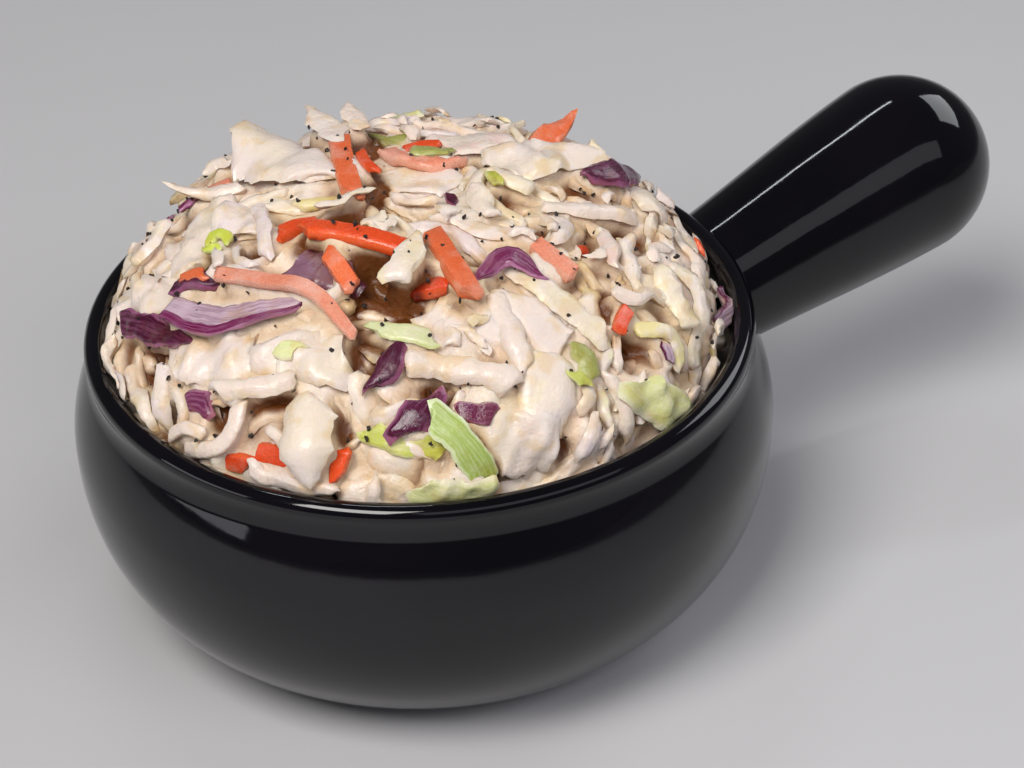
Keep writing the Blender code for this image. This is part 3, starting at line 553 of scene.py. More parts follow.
def wall_distance(sizes, direction, origin, axis_start):
    """Distance along a line at which it reaches the middle of the crock's wall."""
    near, far = 0.0, sizes.handle_end
    for _ in range(WALL_HALVINGS):
        middle = (near + far) / 2
        place = axis_start + origin + direction * middle
        rise = (place.z - sizes.belly_height) / (sizes.neck_height - sizes.belly_height)
        drop = (sizes.belly_height - place.z) / sizes.belly_height
        if rise > 0:
            radius = sizes.belly_radius - (sizes.belly_radius - sizes.neck_radius) * rise ** 2
        else:
            bulge = rounded_quarter(max(drop, 0.0), BELLY_ROUNDNESS, BELLY_ROUNDNESS)
            radius = sizes.foot_radius + (sizes.belly_radius - sizes.foot_radius) * bulge
        if math.hypot(place.x, place.y) < radius - sizes.wall / 2:
            near = middle
        else:
            far = middle
    return near


def handle_shell(sizes, first):
    """Points and faces of the handle, closed inside the crock's wall; first is the first point's number."""
    direction = Vector((math.cos(sizes.handle_rise), 0.0, math.sin(sizes.handle_rise)))
    side = Vector((0.0, 1.0, 0.0))
    upward = direction.cross(side) * -1
    start = Vector((0.0, 0.0, sizes.handle_height))
    cap_length = sizes.handle_end - sizes.cap_start
    rings = 26
    cap_rings = 14
    points = []
    for step in range(HANDLE_STEPS):
        turn = 2 * math.pi * step / HANDLE_STEPS
        spoke = side * math.cos(turn) + upward * math.sin(turn)
        root = wall_distance(sizes, direction, spoke * sizes.root_radius, start)
        for ring in range(rings):
            share = ring / (rings - 1)
            along = root + (sizes.cap_start - root) * share
            part = max(0.0, (along - sizes.root_distance) / (sizes.cap_start - sizes.root_distance))
            flare = 0.5 * part + 0.5 * part * part * (3 - 2 * part)
            radius = sizes.root_radius + (sizes.cap_radius - sizes.root_radius) * flare
            points.append(start + direction * along + spoke * radius)
        for ring in range(1, cap_rings):
            angle = math.pi / 2 * ring / cap_rings
            points.append(start + direction * (sizes.cap_start + cap_length * math.sin(angle))
                          + spoke * (sizes.cap_radius * math.cos(angle)))
    column = rings + cap_rings - 1
    tip = first + len(points)
    points.append(start + direction * sizes.handle_end)
    faces = []
    for step in range(HANDLE_STEPS):
        here = first + step * column
        there = first + (step + 1) % HANDLE_STEPS * column
        for ring in range(column - 1):
            faces.append((here + ring, there + ring, there + ring + 1, here + ring + 1))
        faces.append((here + column - 1, there + column - 1, tip))
    faces.append(tuple(first + step * column for step in range(HANDLE_STEPS - 1, -1, -1)))
    return [tuple(point) for point in points], faces


def link(name, mesh):
    """Object for a mesh, linked to the scene."""
    made = bpy.data.objects.new(name, mesh)
    bpy.context.scene.collection.objects.link(made)
    return made


def outward(mesh):
    """Turn every closed shell's faces outwards."""
    work = bmesh.new()
    work.from_mesh(mesh)
    bmesh.ops.recalc_face_normals(work, faces=work.faces[:])
    work.to_mesh(mesh)
    work.free()


class Heap:
    """The heap's smooth form, unrolled to a flat map, and the height of what lies on it."""

    def __init__(self, sizes, crock):
        self.crock = crock
        self.heap_radius = sizes.radius / MM
        self.heap_height = sizes.height / MM
        radius, height = self.profile()
        self.radius = radius
        self.height = height
        self.reach = np.concatenate([[0.0], np.cumsum(np.hypot(np.diff(radius), np.diff(height)))])
        self.normal_radius = -np.gradient(height, self.reach)
        self.normal_height = np.gradient(radius, self.reach)
        self.angle = np.arctan2(radius, height - HEAP_PIVOT)
        self.inside = radius < self.heap_radius * JUST_INSIDE
        self.shoulder = np.interp(SHOULDER_RADIUS, radius[self.inside], self.reach[self.inside])
        self.size = int(2 * MAP_REACH / MAP_CELL)
        axis = (np.arange(self.size) + 0.5) * MAP_CELL - MAP_REACH
        spots = np.stack(np.meshgrid(axis, axis, indexing="ij"), -1)
        self.target = self.bulge(self.place(spots)[0])
        self.pit = np.zeros_like(self.target)
        for x, y, reach, depth in HOLLOWS:
            away = np.linalg.norm(spots - self.from_plan(x, y), axis=-1)
            self.pit += depth * np.exp(-(away / reach) ** 2)
        self.target -= self.pit
        self.level = self.target + self.pit - sizes.depth / MM
        self.kept_free = np.zeros_like(self.level)
        self.hollow = hollow_outline(crock)

    def profile(self):
        """Radius and height from the top, over the shoulder and down the side."""
        turn = np.linspace(0, math.pi / 2, DOME_STEPS)
        radius = self.heap_radius * np.sin(turn) ** RIM_CROWDING
        height = rounded_quarter(radius / self.heap_radius, HEAP_SHOULDER, HEAP_EDGE)
        fall = np.linspace(0, 1, SIDE_STEPS)[1:]
        side_radius = self.heap_radius - SIDE_INSET * fall ** 2
        side_height = HEAP_BASE - (HEAP_BASE - SIDE_BOTTOM) * fall
        return (np.concatenate([radius, side_radius]),
                np.concatenate([HEAP_BASE + self.heap_height * height, side_height]))

    def bulge(self, points):
        """Height that the heap's bulges add at points of its form."""
        added = np.zeros(points.shape[:-1])
        for x, y, radius, height in BULGES:
            away = np.hypot(points[..., 0] - x, points[..., 1] - y)
            added += height * np.exp(-(away / radius) ** 2)
        return added

    def place(self, spots):
        """Points and outward normals on the smooth form for spots of the map."""
        far = np.hypot(spots[..., 0], spots[..., 1])
        way = spots / np.maximum(far, 1e-6)[..., None]
        radius = np.interp(far, self.reach, self.radius)
        height = np.interp(far, self.reach, self.height)
        out = np.interp(far, self.reach, self.normal_radius)
        up = np.interp(far, self.reach, self.normal_height)
        points = np.stack([HEAP_CENTRE[0] + radius * way[..., 0], HEAP_CENTRE[1] + radius * way[..., 1],
                           height], -1)
        normals = np.stack([out * way[..., 0], out * way[..., 1], up], -1)
        return points, normals / np.linalg.norm(normals, axis=-1, keepdims=True)

    def spot(self, points):
        """Spots of the map for points near the form."""
        x = points[..., 0] - HEAP_CENTRE[0]
        y = points[..., 1] - HEAP_CENTRE[1]
        flat = np.hypot(x, y)
        far = np.interp(np.arctan2(flat, points[..., 2] - HEAP_PIVOT), self.angle, self.reach)
        return np.stack([x, y], -1) * (far / np.maximum(flat, 1e-6))[..., None]

    def from_plan(self, x, y):
        """Spot of the map for a place in plan, counted down the side past the shoulder."""
        x -= HEAP_CENTRE[0]
        y -= HEAP_CENTRE[1]
        flat = math.hypot(x, y)
        far = np.interp(flat, self.radius[self.inside], self.reach[self.inside])
        if flat > SHOULDER_RADIUS:
            far = self.shoulder + flat - SHOULDER_RADIUS
        return np.array([x, y]) * far / max(flat, 1e-6)

    def cell(self, spots):
        """Cells of the level map under spots."""
        index = ((spots + MAP_REACH) / MAP_CELL).astype(int)
        index = np.clip(index, 0, self.size - 1)
        return index[..., 0], index[..., 1]

    def sample(self, grid, spots):
        """Value of a map at spots, read between its cells."""
        place = (spots + MAP_REACH) / MAP_CELL - 0.5
        low = np.clip(place.astype(int), 0, self.size - 2)
        i, j = low[..., 0], low[..., 1]
        part = np.clip(place - low, 0, 1)
        u, v = part[..., 0], part[..., 1]
        near = grid[i, j] * (1 - u) + grid[i + 1, j] * u
        far = grid[i, j + 1] * (1 - u) + grid[i + 1, j + 1] * u
        return near * (1 - v) + far * v

    def keep_free(self, spots, width):
        """Note that a listed piece will cover the map along its route."""
        along = np.gradient(spots, axis=0)
        side = np.stack([-along[:, 1], along[:, 0]], -1) / np.linalg.norm(along, axis=1, keepdims=True)
        over = spots[:, None] + side[:, None] * (CROSS_STEPS[None, :, None] * width)
        self.kept_free[self.cell(over)] = 1.0

    def lay(self, spots, width, thickness, tilt_limit=TILT_LIMIT, limp=True):
        """Let a strip along the map sink onto what lies there and raise the level under it.

        Returns its middle points, its side and up directions, and how far it drapes across its width.
        """
        points, normals = self.place(spots)
        along = np.gradient(points, axis=0)
        along /= np.linalg.norm(along, axis=1, keepdims=True)
        side = np.cross(normals, along)
        side /= np.linalg.norm(side, axis=1, keepdims=True)
        offsets = CROSS_STEPS[None] * width[:, None]
        over = points[:, None] + side[:, None] * offsets[..., None]
        rows, columns = self.cell(self.spot(over))
        below = self.level[rows, columns]
        travel = np.concatenate([[0.0], np.cumsum(np.linalg.norm(np.diff(points, axis=0), axis=1))])
        gap = (travel[:, None] - travel[None]) ** 2
        sag = SAG if limp else STIFF_SAG
        draped = np.stack([(column[None] - sag * gap).max(1) for column in below.T], 1)
        apart = (offsets[:, :, None] - offsets[:, None]) ** 2
        draped = smoothed((draped[:, None] - SAG_ACROSS * apart).max(2), DRAPE_ROUNDS)
        left, right = draped[:, :CROSS_MIDDLE].mean(1), draped[:, CROSS_MIDDLE + 1:].mean(1)
        slope = (right - left) / np.maximum(width * HALVES_APART, LEAST_APART)
        slope = smoothed(np.clip(slope, -tilt_limit, tilt_limit), SLOPE_ROUNDS)
        plane = slope[:, None] * offsets
        if limp:
            rest = draped[:, CROSS_MIDDLE]
            drape = draped - rest[:, None] - plane
        else:
            rest = smoothed((draped - plane).max(1), REST_ROUNDS)
            drape = np.zeros_like(draped)
        upper = rest + thickness - SINK
        np.maximum.at(self.level, (rows, columns), upper[:, None] + plane + drape)
        tilt = np.arctan(slope)[:, None]
        middle = points + normals * (upper - thickness * 0.5)[:, None]
        across = side * np.cos(tilt) + normals * np.sin(tilt)
        up = normals * np.cos(tilt) - side * np.sin(tilt)
        return middle, across, up, drape

    def depth_of(self, points, surface):
        """How far points lie under the surface map, along the form's normal."""
        spots = self.spot(points)
        base, normals = self.place(spots)
        height = ((points - base) * normals).sum(-1)
        return self.sample(surface, spots) - height

    def clear_of_wall(self, points, margin):
        """Points pulled in so that they clear the crock's wall and lip by a margin."""
        flat = np.hypot(points[..., 0], points[..., 1])
        radius, height = self.hollow
        crest = (self.crock.lip_height + self.crock.lip_rounding) / MM
        within = np.interp(points[..., 2], height, radius) - margin
        limit = np.where(points[..., 2] < crest, within, REACH_OVER_LIP)
        scale = np.minimum(1.0, limit / np.maximum(flat, 1e-6))
        tall = points[..., 2:]
        tall = np.where(tall > HIGH, HIGH + (tall - HIGH) * HIGH_SHARE, tall)
        return np.concatenate([points[..., :2] * scale[..., None], tall], -1)


def hollow_outline(sizes):
    """Radius and height of the crock's inside up to the lip's crest, in millimetres."""
    lip = [point for point in lip_curve(sizes) if point[0] <= sizes.lip_radius]
    outline = np.array(inner_curve(sizes) + lip) / MM
    order = np.argsort(outline[:, 1], kind="stable")
    return outline[order, 0], outline[order, 1]


def smoothed(values, rounds):
    """Values averaged with their neighbours a few times."""
    for _ in range(rounds):
        padded = np.concatenate([values[:1], values, values[-1:]])
        values = (padded[:-2] + 2 * padded[1:-1] + padded[2:]) / 4
    return values


def softened(grid, rounds):
    """A map averaged with its neighbours a few times in both directions."""
    for _ in range(rounds):
        padded = np.pad(grid, 1, mode="edge")
        grid = (padded[:-2, 1:-1] + padded[2:, 1:-1] + padded[1:-1, :-2] + padded[1:-1, 2:]
                + 4 * padded[1:-1, 1:-1]) / 8
    return grid


def widened(grid, cells):
    """A map whose high places are widened by a number of cells."""
    result = grid
    for i in range(-cells, cells + 1):
        for j in range(-cells, cells + 1):
            if i * i + j * j <= cells * cells + 1:
                result = np.maximum(result, np.roll(grid, (i, j), (0, 1)))
    return result


def through(route):
    """Even points along a smooth curve through a route's spots."""
    route = np.asarray(route, float)
    padded = np.concatenate([[2 * route[0] - route[1]], route, [2 * route[-1] - route[-2]]])
    t = np.linspace(0, 1, CURVE_STEPS, endpoint=False)[:, None]
    dense = []
    for index in range(len(route) - 1):
        a, b, c, d = padded[index:index + 4]
        dense.append(0.5 * (2 * b + (c - a) * t + (2 * a - 5 * b + 4 * c - d) * t ** 2
                            + (3 * b - a - 3 * c + d) * t ** 3))
    dense = np.concatenate(dense + [route[-1:]])
    travel = np.concatenate([[0.0], np.cumsum(np.linalg.norm(np.diff(dense, axis=0), axis=1))])
    count = max(FEWEST_POINTS, int(round(travel[-1] / SPACING)) + 1)
    even = np.linspace(0, travel[-1], count)
    return np.stack([np.interp(even, travel, dense[:, k]) for k in (0, 1)], -1)


def width_along(piece, count):
    """Width of a piece from its start to its end, with its ends drawn in."""
    t = np.linspace(0, 1, count)
    start = piece.start + (1 - piece.start) * np.sin(np.clip(t / 0.5, 0, 1) * math.pi / 2)
    end = piece.end + (1 - piece.end) * np.sin(np.clip((1 - t) / 0.5, 0, 1) * math.pi / 2)
    return piece.width * np.minimum(start, end)


def lift_along(lift, count):
    """Extra height from the start, by the middle, to the end."""
    t = np.linspace(0, 1, count)
    ends = lift[0] * np.clip(1 - 2 * t, 0, 1) ** 1.6 + lift[2] * np.clip(2 * t - 1, 0, 1) ** 1.6
    return ends + lift[1] * np.sin(math.pi * t) ** 2


class Batch:
    """Shells of one kind of piece, gathered for one mesh."""

    def __init__(self):
        self.points = []
        self.faces = []
        self.values = {"across": [], "along": [], "coat": []}
        self.colours = {"tint": [], "rim": []}
        self.count = 0

    def add(self, loops, across, along, tint, rim, coat):
        """One closed shell from its loops of points, from one end to the other."""
        rows, sides = loops.shape[:2]
        first = self.count
        for row in range(rows - 1):
            low = first + row * sides
            for i in range(sides):
                j = (i + 1) % sides
                self.faces.append((low + i, low + j, low + sides + j, low + sides + i))
        self.faces.append(tuple(first + i for i in range(sides - 1, -1, -1)))
        self.faces.append(tuple(first + (rows - 1) * sides + i for i in range(sides)))
        total = rows * sides
        self.points.append(loops.reshape(-1, 3))
        for key, value in (("across", across), ("along", along), ("coat", np.full(total, coat))):
            self.values[key].append(value.reshape(-1))
        for key, value in (("tint", tint), ("rim", rim)):
            self.colours[key].append(np.tile(np.append(value, 1.0), (total, 1)))
        self.count += total

    def mesh(self, name, heap, surface):
        """The gathered shells as one mesh with its attributes."""
        points = np.concatenate(self.points)
        made = bpy.data.meshes.new(name)
        made.from_pydata((points * MM).tolist(), [], self.faces)
        for key, data in self.values.items():
            add_values(made, key, np.concatenate(data))
        # How deep each point lies under the top, which the materials turn into painted shade
        add_values(made, "depth", heap.depth_of(points, surface))
        for key, data in self.colours.items():
            layer = made.color_attributes.new(key, "FLOAT_COLOR", "POINT")
            layer.data.foreach_set("color", np.concatenate(data).astype(np.float32).reshape(-1))
        outward(made)
        made.shade_smooth()
        made.set_sharp_from_angle(angle=CUT_ANGLE)
        return made


def add_values(mesh, name, values):
    """Give each point of a mesh a value that its material reads."""
    mesh.attributes.new(name, "FLOAT", "POINT").data.foreach_set("value", values.astype(np.float32))


def waves(travel, parts, phases):
    """Sum of waves along a piece, each with its pace, amount and phase."""
    return sum(amount * np.sin(travel * pace + phase) for (pace, amount), phase in zip(parts, phases))


def shell_of(heap, piece, thickness, middle, across, up, drape, draw):
    """Loops of points round a strip, with rounded cut edges and an uneven coat, and its attributes."""
    thickness *= draw.uniform(0.85, 1.2)
    columns = COLUMNS[piece.kind]
    count = len(middle)
    width = width_along(piece, count)
    v = np.linspace(-1, 1, columns)
    v = np.sign(v) * np.abs(v) ** (CUT_CROWDING if piece.kind in STIFF else LEAF_CROWDING)
    square = SQUARENESS[piece.kind]
    half = np.maximum(0.0, 1 - np.abs(v) ** square) ** (1 / square)
    face = np.concatenate([v, v[-2:0:-1]])
    rise = np.concatenate([half, -half[-2:0:-1]])
    travel = np.concatenate([[0.0], np.cumsum(np.linalg.norm(np.diff(middle, axis=0), axis=1))])
    phase = [draw.uniform(0, PHASES) for _ in range(10)]
    rough = ROUGHNESS_OF_CUT[piece.kind]
    left = 1 + rough * waves(travel, LEFT_WAVES, phase[:2])
    right = 1 + rough * waves(travel, RIGHT_WAVES, phase[6:8])
    uneven = 0.3 if piece.kind in STIFF else 1.0
    plump = 1 + uneven * waves(travel, PLUMP_WAVES, phase[2:4])
    roll = piece.roll * np.sin(travel * 0.13 + phase[8])
    turned_across = across * np.cos(roll)[:, None] + up * np.sin(roll)[:, None]
    turned_up = up * np.cos(roll)[:, None] - across * np.sin(roll)[:, None]
    from_end = np.minimum(travel, travel[-1] - travel)
    blunt = np.clip(from_end / (0.5 if piece.kind in STIFF else 1.1), 0, 1)
    blunt = np.sqrt(np.maximum(0.0, 1 - (1 - blunt) ** 2))
    shear_start = draw.uniform(-0.5, 0.5) * piece.width
    shear_end = draw.uniform(-0.5, 0.5) * piece.width
    share = travel / max(travel[-1], 1e-6)
    shear = shear_start * np.clip(1 - 3 * share, 0, 1) + shear_end * np.clip(3 * share - 2, 0, 1)
    forward = np.gradient(middle, axis=0)
    forward /= np.maximum(np.linalg.norm(forward, axis=1, keepdims=True), 1e-9)
    wave = piece.ripple * np.sin(travel[:, None] * 0.75 + face[None] * 2.0 + phase[4])
    wave += 0.5 * piece.ripple * np.sin(travel[:, None] * 1.6 - face[None] * 3.0 + phase[5])
    bow = piece.crown * (1 - face[None] ** 2)
    bow = bow + np.stack([np.interp(face, 2 * CROSS_STEPS, row) for row in drape])
    lean = np.where(face[None] < 0, left[:, None], right[:, None])
    lean *= (END_WIDTH + (1 - END_WIDTH) * blunt)[:, None]
    side = face[None] * width[:, None] * lean / 2
    round_end = END_THICKNESS + (1 - END_THICKNESS) * blunt
    tall = rise[None] * (thickness * plump * round_end / 2)[:, None] + wave + bow
    loops = (middle[:, None] + turned_across[:, None] * side[..., None] + turned_up[:, None] * tall[..., None]
             + forward[:, None] * (shear[:, None] * face[None])[..., None])
    edge = np.where(np.abs(face) > 0.98, 1.0, np.abs(face))[None] * np.ones((count, 1))
    edge = np.maximum(edge, 1 - blunt[:, None])
    along = travel[:, None] + np.zeros((1, len(face))) + phase[9] * 10
    return heap.clear_of_wall(loops, CLEARANCE), edge, along


def wavering(points, size, amount):
    """Points moved by a smooth random field whose waves have a size, in millimetres."""
    moved = [noise_vector(Vector(point) / size) for point in points]
    return points + np.array(moved) * amount


def along_bearing(bearing):
    """Step of one millimetre along a bearing of the map."""
    return np.array([math.cos(bearing), math.sin(bearing)])


def random_bearing(draw):
    """Any bearing of the map."""
    return draw.uniform(0, 2 * math.pi)


def random_centre(draw):
    """Spot of the map, each equally likely within reach."""
    far = FILLER_REACH * math.sqrt(draw.random())
    return along_bearing(random_bearing(draw)) * far


def random_tone(draw):
    """Tone of a shred that is laid at random."""
    return draw.choices(list(SHRED_TONES), list(SHRED_TONES.values()))[0]


class Salad:
    """All pieces of the salad, laid one on another, gathered by kind."""

    def __init__(self, sizes, crock):
        self.sizes = sizes
        self.heap = Heap(sizes, crock)
        self.batches = {}
        draw = random.Random(sizes.seed)
        seed_set(sizes.seed)
        routes = [through([self.heap.from_plan(x, y) for x, y in piece.route]) for piece in PIECES]
        for piece, spots in zip(PIECES, routes):
            self.heap.keep_free(spots, piece.width)
        self.ceiling = self.heap.target + self.heap.pit
        self.fill(draw, sizes.deep_count, DEEP_CEILING, SHORTER)
        self.ceiling = self.heap.target - OVERLAID * softened(self.heap.kept_free, OVERLAID_ROUNDS)
        self.fill(draw, sizes.shred_count, UNDER_CEILING)
        for piece, spots in zip(PIECES, routes):
            self.add(piece, spots, draw)
        self.ceiling = self.heap.target - KEEP_OFF * softened(self.heap.kept_free, KEEP_OFF_ROUNDS)
        self.fill(draw, sizes.cover_count, OVER_CEILING, SHORTER, SLIMMER, "cover")
        self.strew_bits(draw, sizes.bit_count)
        self.surface = softened(widened(self.heap.level, SURFACE_CELLS), SURFACE_ROUNDS)

    def fill(self, draw, count, allowance, shorter=1.0, slimmer=1.0, batch="shreds"):
        """Lay random shreds until the heap is full or has its count of them."""
        failed = 0
        for _ in range(count):
            failed = 0 if self.add_filler(draw, allowance, shorter, slimmer, batch) else failed + 1
            if failed > FILLER_PATIENCE:
                break

    def add(self, piece, spots, draw, batch=None):
        """Lay one piece and keep its shell."""
        width = width_along(piece, len(spots))
        limit = BROAD_TILT if piece.width > BROAD_WIDTH else TILT_LIMIT
        thickness = min(THICKNESS[piece.kind], FLATNESS * piece.width)
        middle, across, up, drape = self.heap.lay(spots, width, thickness, limit,
                                                  piece.kind not in RIGID)
        middle = middle + up * lift_along(piece.lift, len(spots))[:, None]
        last = len(spots) - 1
        every_other = np.linspace(0, last, max(6, len(spots) // 2 + 1)).round().astype(int)
        kept = sorted({0, 1, last - 1, last} | set(every_other.tolist()))
        loops, edge, along = shell_of(self.heap, piece, thickness, middle[kept], across[kept], up[kept],
                                      drape[kept], draw)
        if piece.kind in WAVES:
            flat = loops.reshape(-1, 3)
            for size, amount in WAVES[piece.kind]:
                flat = wavering(flat, size, amount)
            loops = self.heap.clear_of_wall(flat.reshape(loops.shape), CLEARANCE)
        tint, rim = (np.array(value) for value in TONES[piece.tone])
        shift = draw.uniform(0.93, 1.05)
        tint, rim = (np.clip(value * shift, 0, 0.95) for value in (tint, rim))
        store = self.batches.setdefault(batch or piece.kind, Batch())
        store.add(loops, edge, along, tint, rim, piece.coat)

    def strew_bits(self, draw, count):
        """Lay small ragged bits of cabbage over the heap, clear of the listed pieces."""
        heap = self.heap
        covered = softened(heap.kept_free, BIT_ROUNDS)
        for _ in range(count):
            best = None
            for _ in range(BIT_TRIES):
                centre = random_centre(draw)
                cell = heap.cell(centre)
                lack = heap.target[cell] + BIT_CEILING - heap.level[cell]
                if lack > 0 and covered[cell] < BIT_NEARNESS and (best is None or lack > best[0]):
                    best = (lack, centre)
            if best is None:
                continue
            way = along_bearing(random_bearing(draw))
            reach = draw.uniform(2.5, 5.5) * (1.8 if draw.random() < 0.25 else 1.0)
            bend = np.array([-way[1], way[0]]) * draw.uniform(-0.3, 0.3) * reach
            route = [best[1] - way * reach / 2, best[1] + bend, best[1] + way * reach / 2]
            piece = Piece("bit", random_tone(draw), draw.uniform(1.6, 3.4), (),
                          start=draw.uniform(0.4, 1.0), end=draw.uniform(0.3, 1.0),
                          lift=(draw.uniform(0, 0.5), 0.2, draw.uniform(0, 0.9)),
                          crown=draw.uniform(-0.1, 0.3), coat=draw.uniform(0.3, 0.9),
                          roll=draw.uniform(-0.5, 0.5))
            self.add(piece, through(route), draw)

    def add_filler(self, draw, allowance, shorter, slimmer, batch):
        """Lay one random cabbage shred where the heap still lacks the most, if it fits there."""
        heap, sizes = self.heap, self.sizes
        best = None
        narrow, wide = sizes.shred_narrow / MM, sizes.shred_wide / MM
        short, long = sizes.shred_short / MM, sizes.shred_long / MM
        steps = np.linspace(0, 1, 19)[:, None]
        for _ in range(FILLER_TRIES):
            centre = random_centre(draw)
            bearing = draw.gauss(*RIGHT_HEADING) if centre[0] > RIGHT_START else random_bearing(draw)
            way = along_bearing(bearing)
            sideways = np.array([-way[1], way[0]])
            reach = (short + (long - short) * draw.random() ** 1.5) * shorter
            bend = sideways * draw.uniform(-0.28, 0.28) * reach
            sway = sideways * draw.uniform(-0.10, 0.10) * reach
            route = np.array([centre - way * reach / 2, centre - way * reach / 6 + bend * 0.8 + sway,
                              centre + way * reach / 6 + bend * 0.8 - sway, centre + way * reach / 2])
            if np.hypot(*route.T).max() > FILLER_REACH + 2:
                continue
            line = route[0] * (1 - steps) + route[-1] * steps + bend * np.sin(steps * math.pi)
            cells = heap.cell(line)
            ceiling, level = self.ceiling[cells], heap.level[cells]
            lack = ceiling - level
            if lack.min() < -allowance:
                continue
            if heap.pit[cells].max() > OPEN_PIT and level.max() > ceiling.min() + PIT_BRIDGE:
                continue
            if best is None or lack.mean() > best[0]:
                best = (lack.mean(), route)
        if best is None or best[0] < FILLER_ROOM - allowance:
            return False
        tone = random_tone(draw)
        broader = draw.choices(BROADER, BROADER_WEIGHTS)[0]
        piece = Piece("cabbage", tone, draw.uniform(narrow, wide) * broader * slimmer, (),
                      start=draw.uniform(0.5, 1.0), end=draw.uniform(0.4, 1.0),
                      lift=(draw.uniform(0, 1.1) ** 2, draw.uniform(0, 0.4), draw.uniform(0, 1.1) ** 2),
                      crown=draw.uniform(-0.2, 0.6), ripple=draw.uniform(0, 0.35),
                      coat=draw.uniform(0.35, 0.95), roll=draw.uniform(-0.6, 0.6))
        self.add(piece, through(best[1]), draw, batch)
        return True


def add_node(tree, kind, inputs=None, **settings):
    """Node with its settings, its sockets set or linked."""
    made = tree.nodes.new(kind)
    for key, value in settings.items():
        setattr(made, key, value)
    for key, value in (inputs or {}).items():
        if isinstance(value, bpy.types.NodeSocket):
            tree.links.new(value, made.inputs[key])
        else:
            made.inputs[key].default_value = value
    return made


def mix_colour(tree, factor, first, second, blend="MIX"):
    """Colour mixed from two."""
    made = add_node(tree, "ShaderNodeMix", {0: factor, 6: first, 7: second}, data_type="RGBA",
                    blend_type=blend)
    return made.outputs[2]


def ranged(tree, value, low, high, to_low=0.0, to_high=1.0, smooth=True):
    """Value brought from one range into another."""
    made = add_node(tree, "ShaderNodeMapRange", {"Value": value, "From Min": low, "From Max": high,
                                                 "To Min": to_low, "To Max": to_high},
                    interpolation_type="SMOOTHSTEP" if smooth else "LINEAR")
    return made.outputs["Result"]


def maths(tree, operation, first, second=0.0):
    """Result of one sum."""
    return add_node(tree, "ShaderNodeMath", {0: first, 1: second}, operation=operation).outputs[0]


def noise(tree, vector, scale, detail=3.0, roughness=0.55):
    """Noise value on a vector."""
    made = add_node(tree, "ShaderNodeTexNoise", {"Vector": vector, "Scale": scale, "Detail": detail,
                                                 "Roughness": roughness})
    return made.outputs["Fac"]


def new_material(name):
    """Empty node material with its tree and the place that its patterns follow."""
    made = bpy.data.materials.new(name)
    made.use_nodes = True
    made.node_tree.nodes.clear()
    return made, made.node_tree, made.node_tree.nodes.new("ShaderNodeTexCoord").outputs["Object"]


def finish_material(made, base, roughness, relief=None, more=None):
    """Close a material with its shader; relief is a height, its strength and its depth."""
    tree = made.node_tree
    inputs = {"Base Color": base, "Roughness": roughness, **(more or {})}
    if relief:
        bump = add_node(tree, "ShaderNodeBump", dict(zip(("Height", "Strength", "Distance"), relief)))
        inputs["Normal"] = bump.outputs["Normal"]
    shader = add_node(tree, "ShaderNodeBsdfPrincipled", inputs)
    output = tree.nodes.new("ShaderNodeOutputMaterial")
    tree.links.new(shader.outputs[0], output.inputs["Surface"])
    return made


def scaled(tree, value, factor):
    """Value times a factor."""
    return maths(tree, "MULTIPLY", value, factor)


def weighted(tree, *parts):
    """Sum of values, each times its weight."""
    total = scaled(tree, *parts[0])
    for part in parts[1:]:
        total = maths(tree, "ADD", total, scaled(tree, *part))
    return total


def shaded(base, factor):
    """A colour made lighter or darker by a factor."""
    return (*(min(1.0, part * factor) for part in base), 1.0)


def attribute(tree, name):
    """Attribute of the piece's own mesh."""
    return add_node(tree, "ShaderNodeAttribute", attribute_name=name, attribute_type="GEOMETRY")


def cream_colour(tree, place, colours):
    """Colour of the dressing, warmer in soft clouds."""
    clouds = noise(tree, place, scale=75.0, detail=2.0)
    return mix_colour(tree, ranged(tree, clouds, 0.40, 0.64), (*colours.dressing, 1.0),
                      (*colours.dressing_warm, 1.0))


def painted_depth_shade(tree, colours, given):
    """Colour with painted shade, warmer and darker by how deep it lies between the shreds."""
    depth = attribute(tree, "depth").outputs["Fac"]
    for shade, start, end in ((colours.hollow, 0.9, 2.8), (colours.crevice_shade, 2.4, 4.6)):
        given = mix_colour(tree, ranged(tree, depth, start, end), given, (*shade, 1.0), "MULTIPLY")
    return given


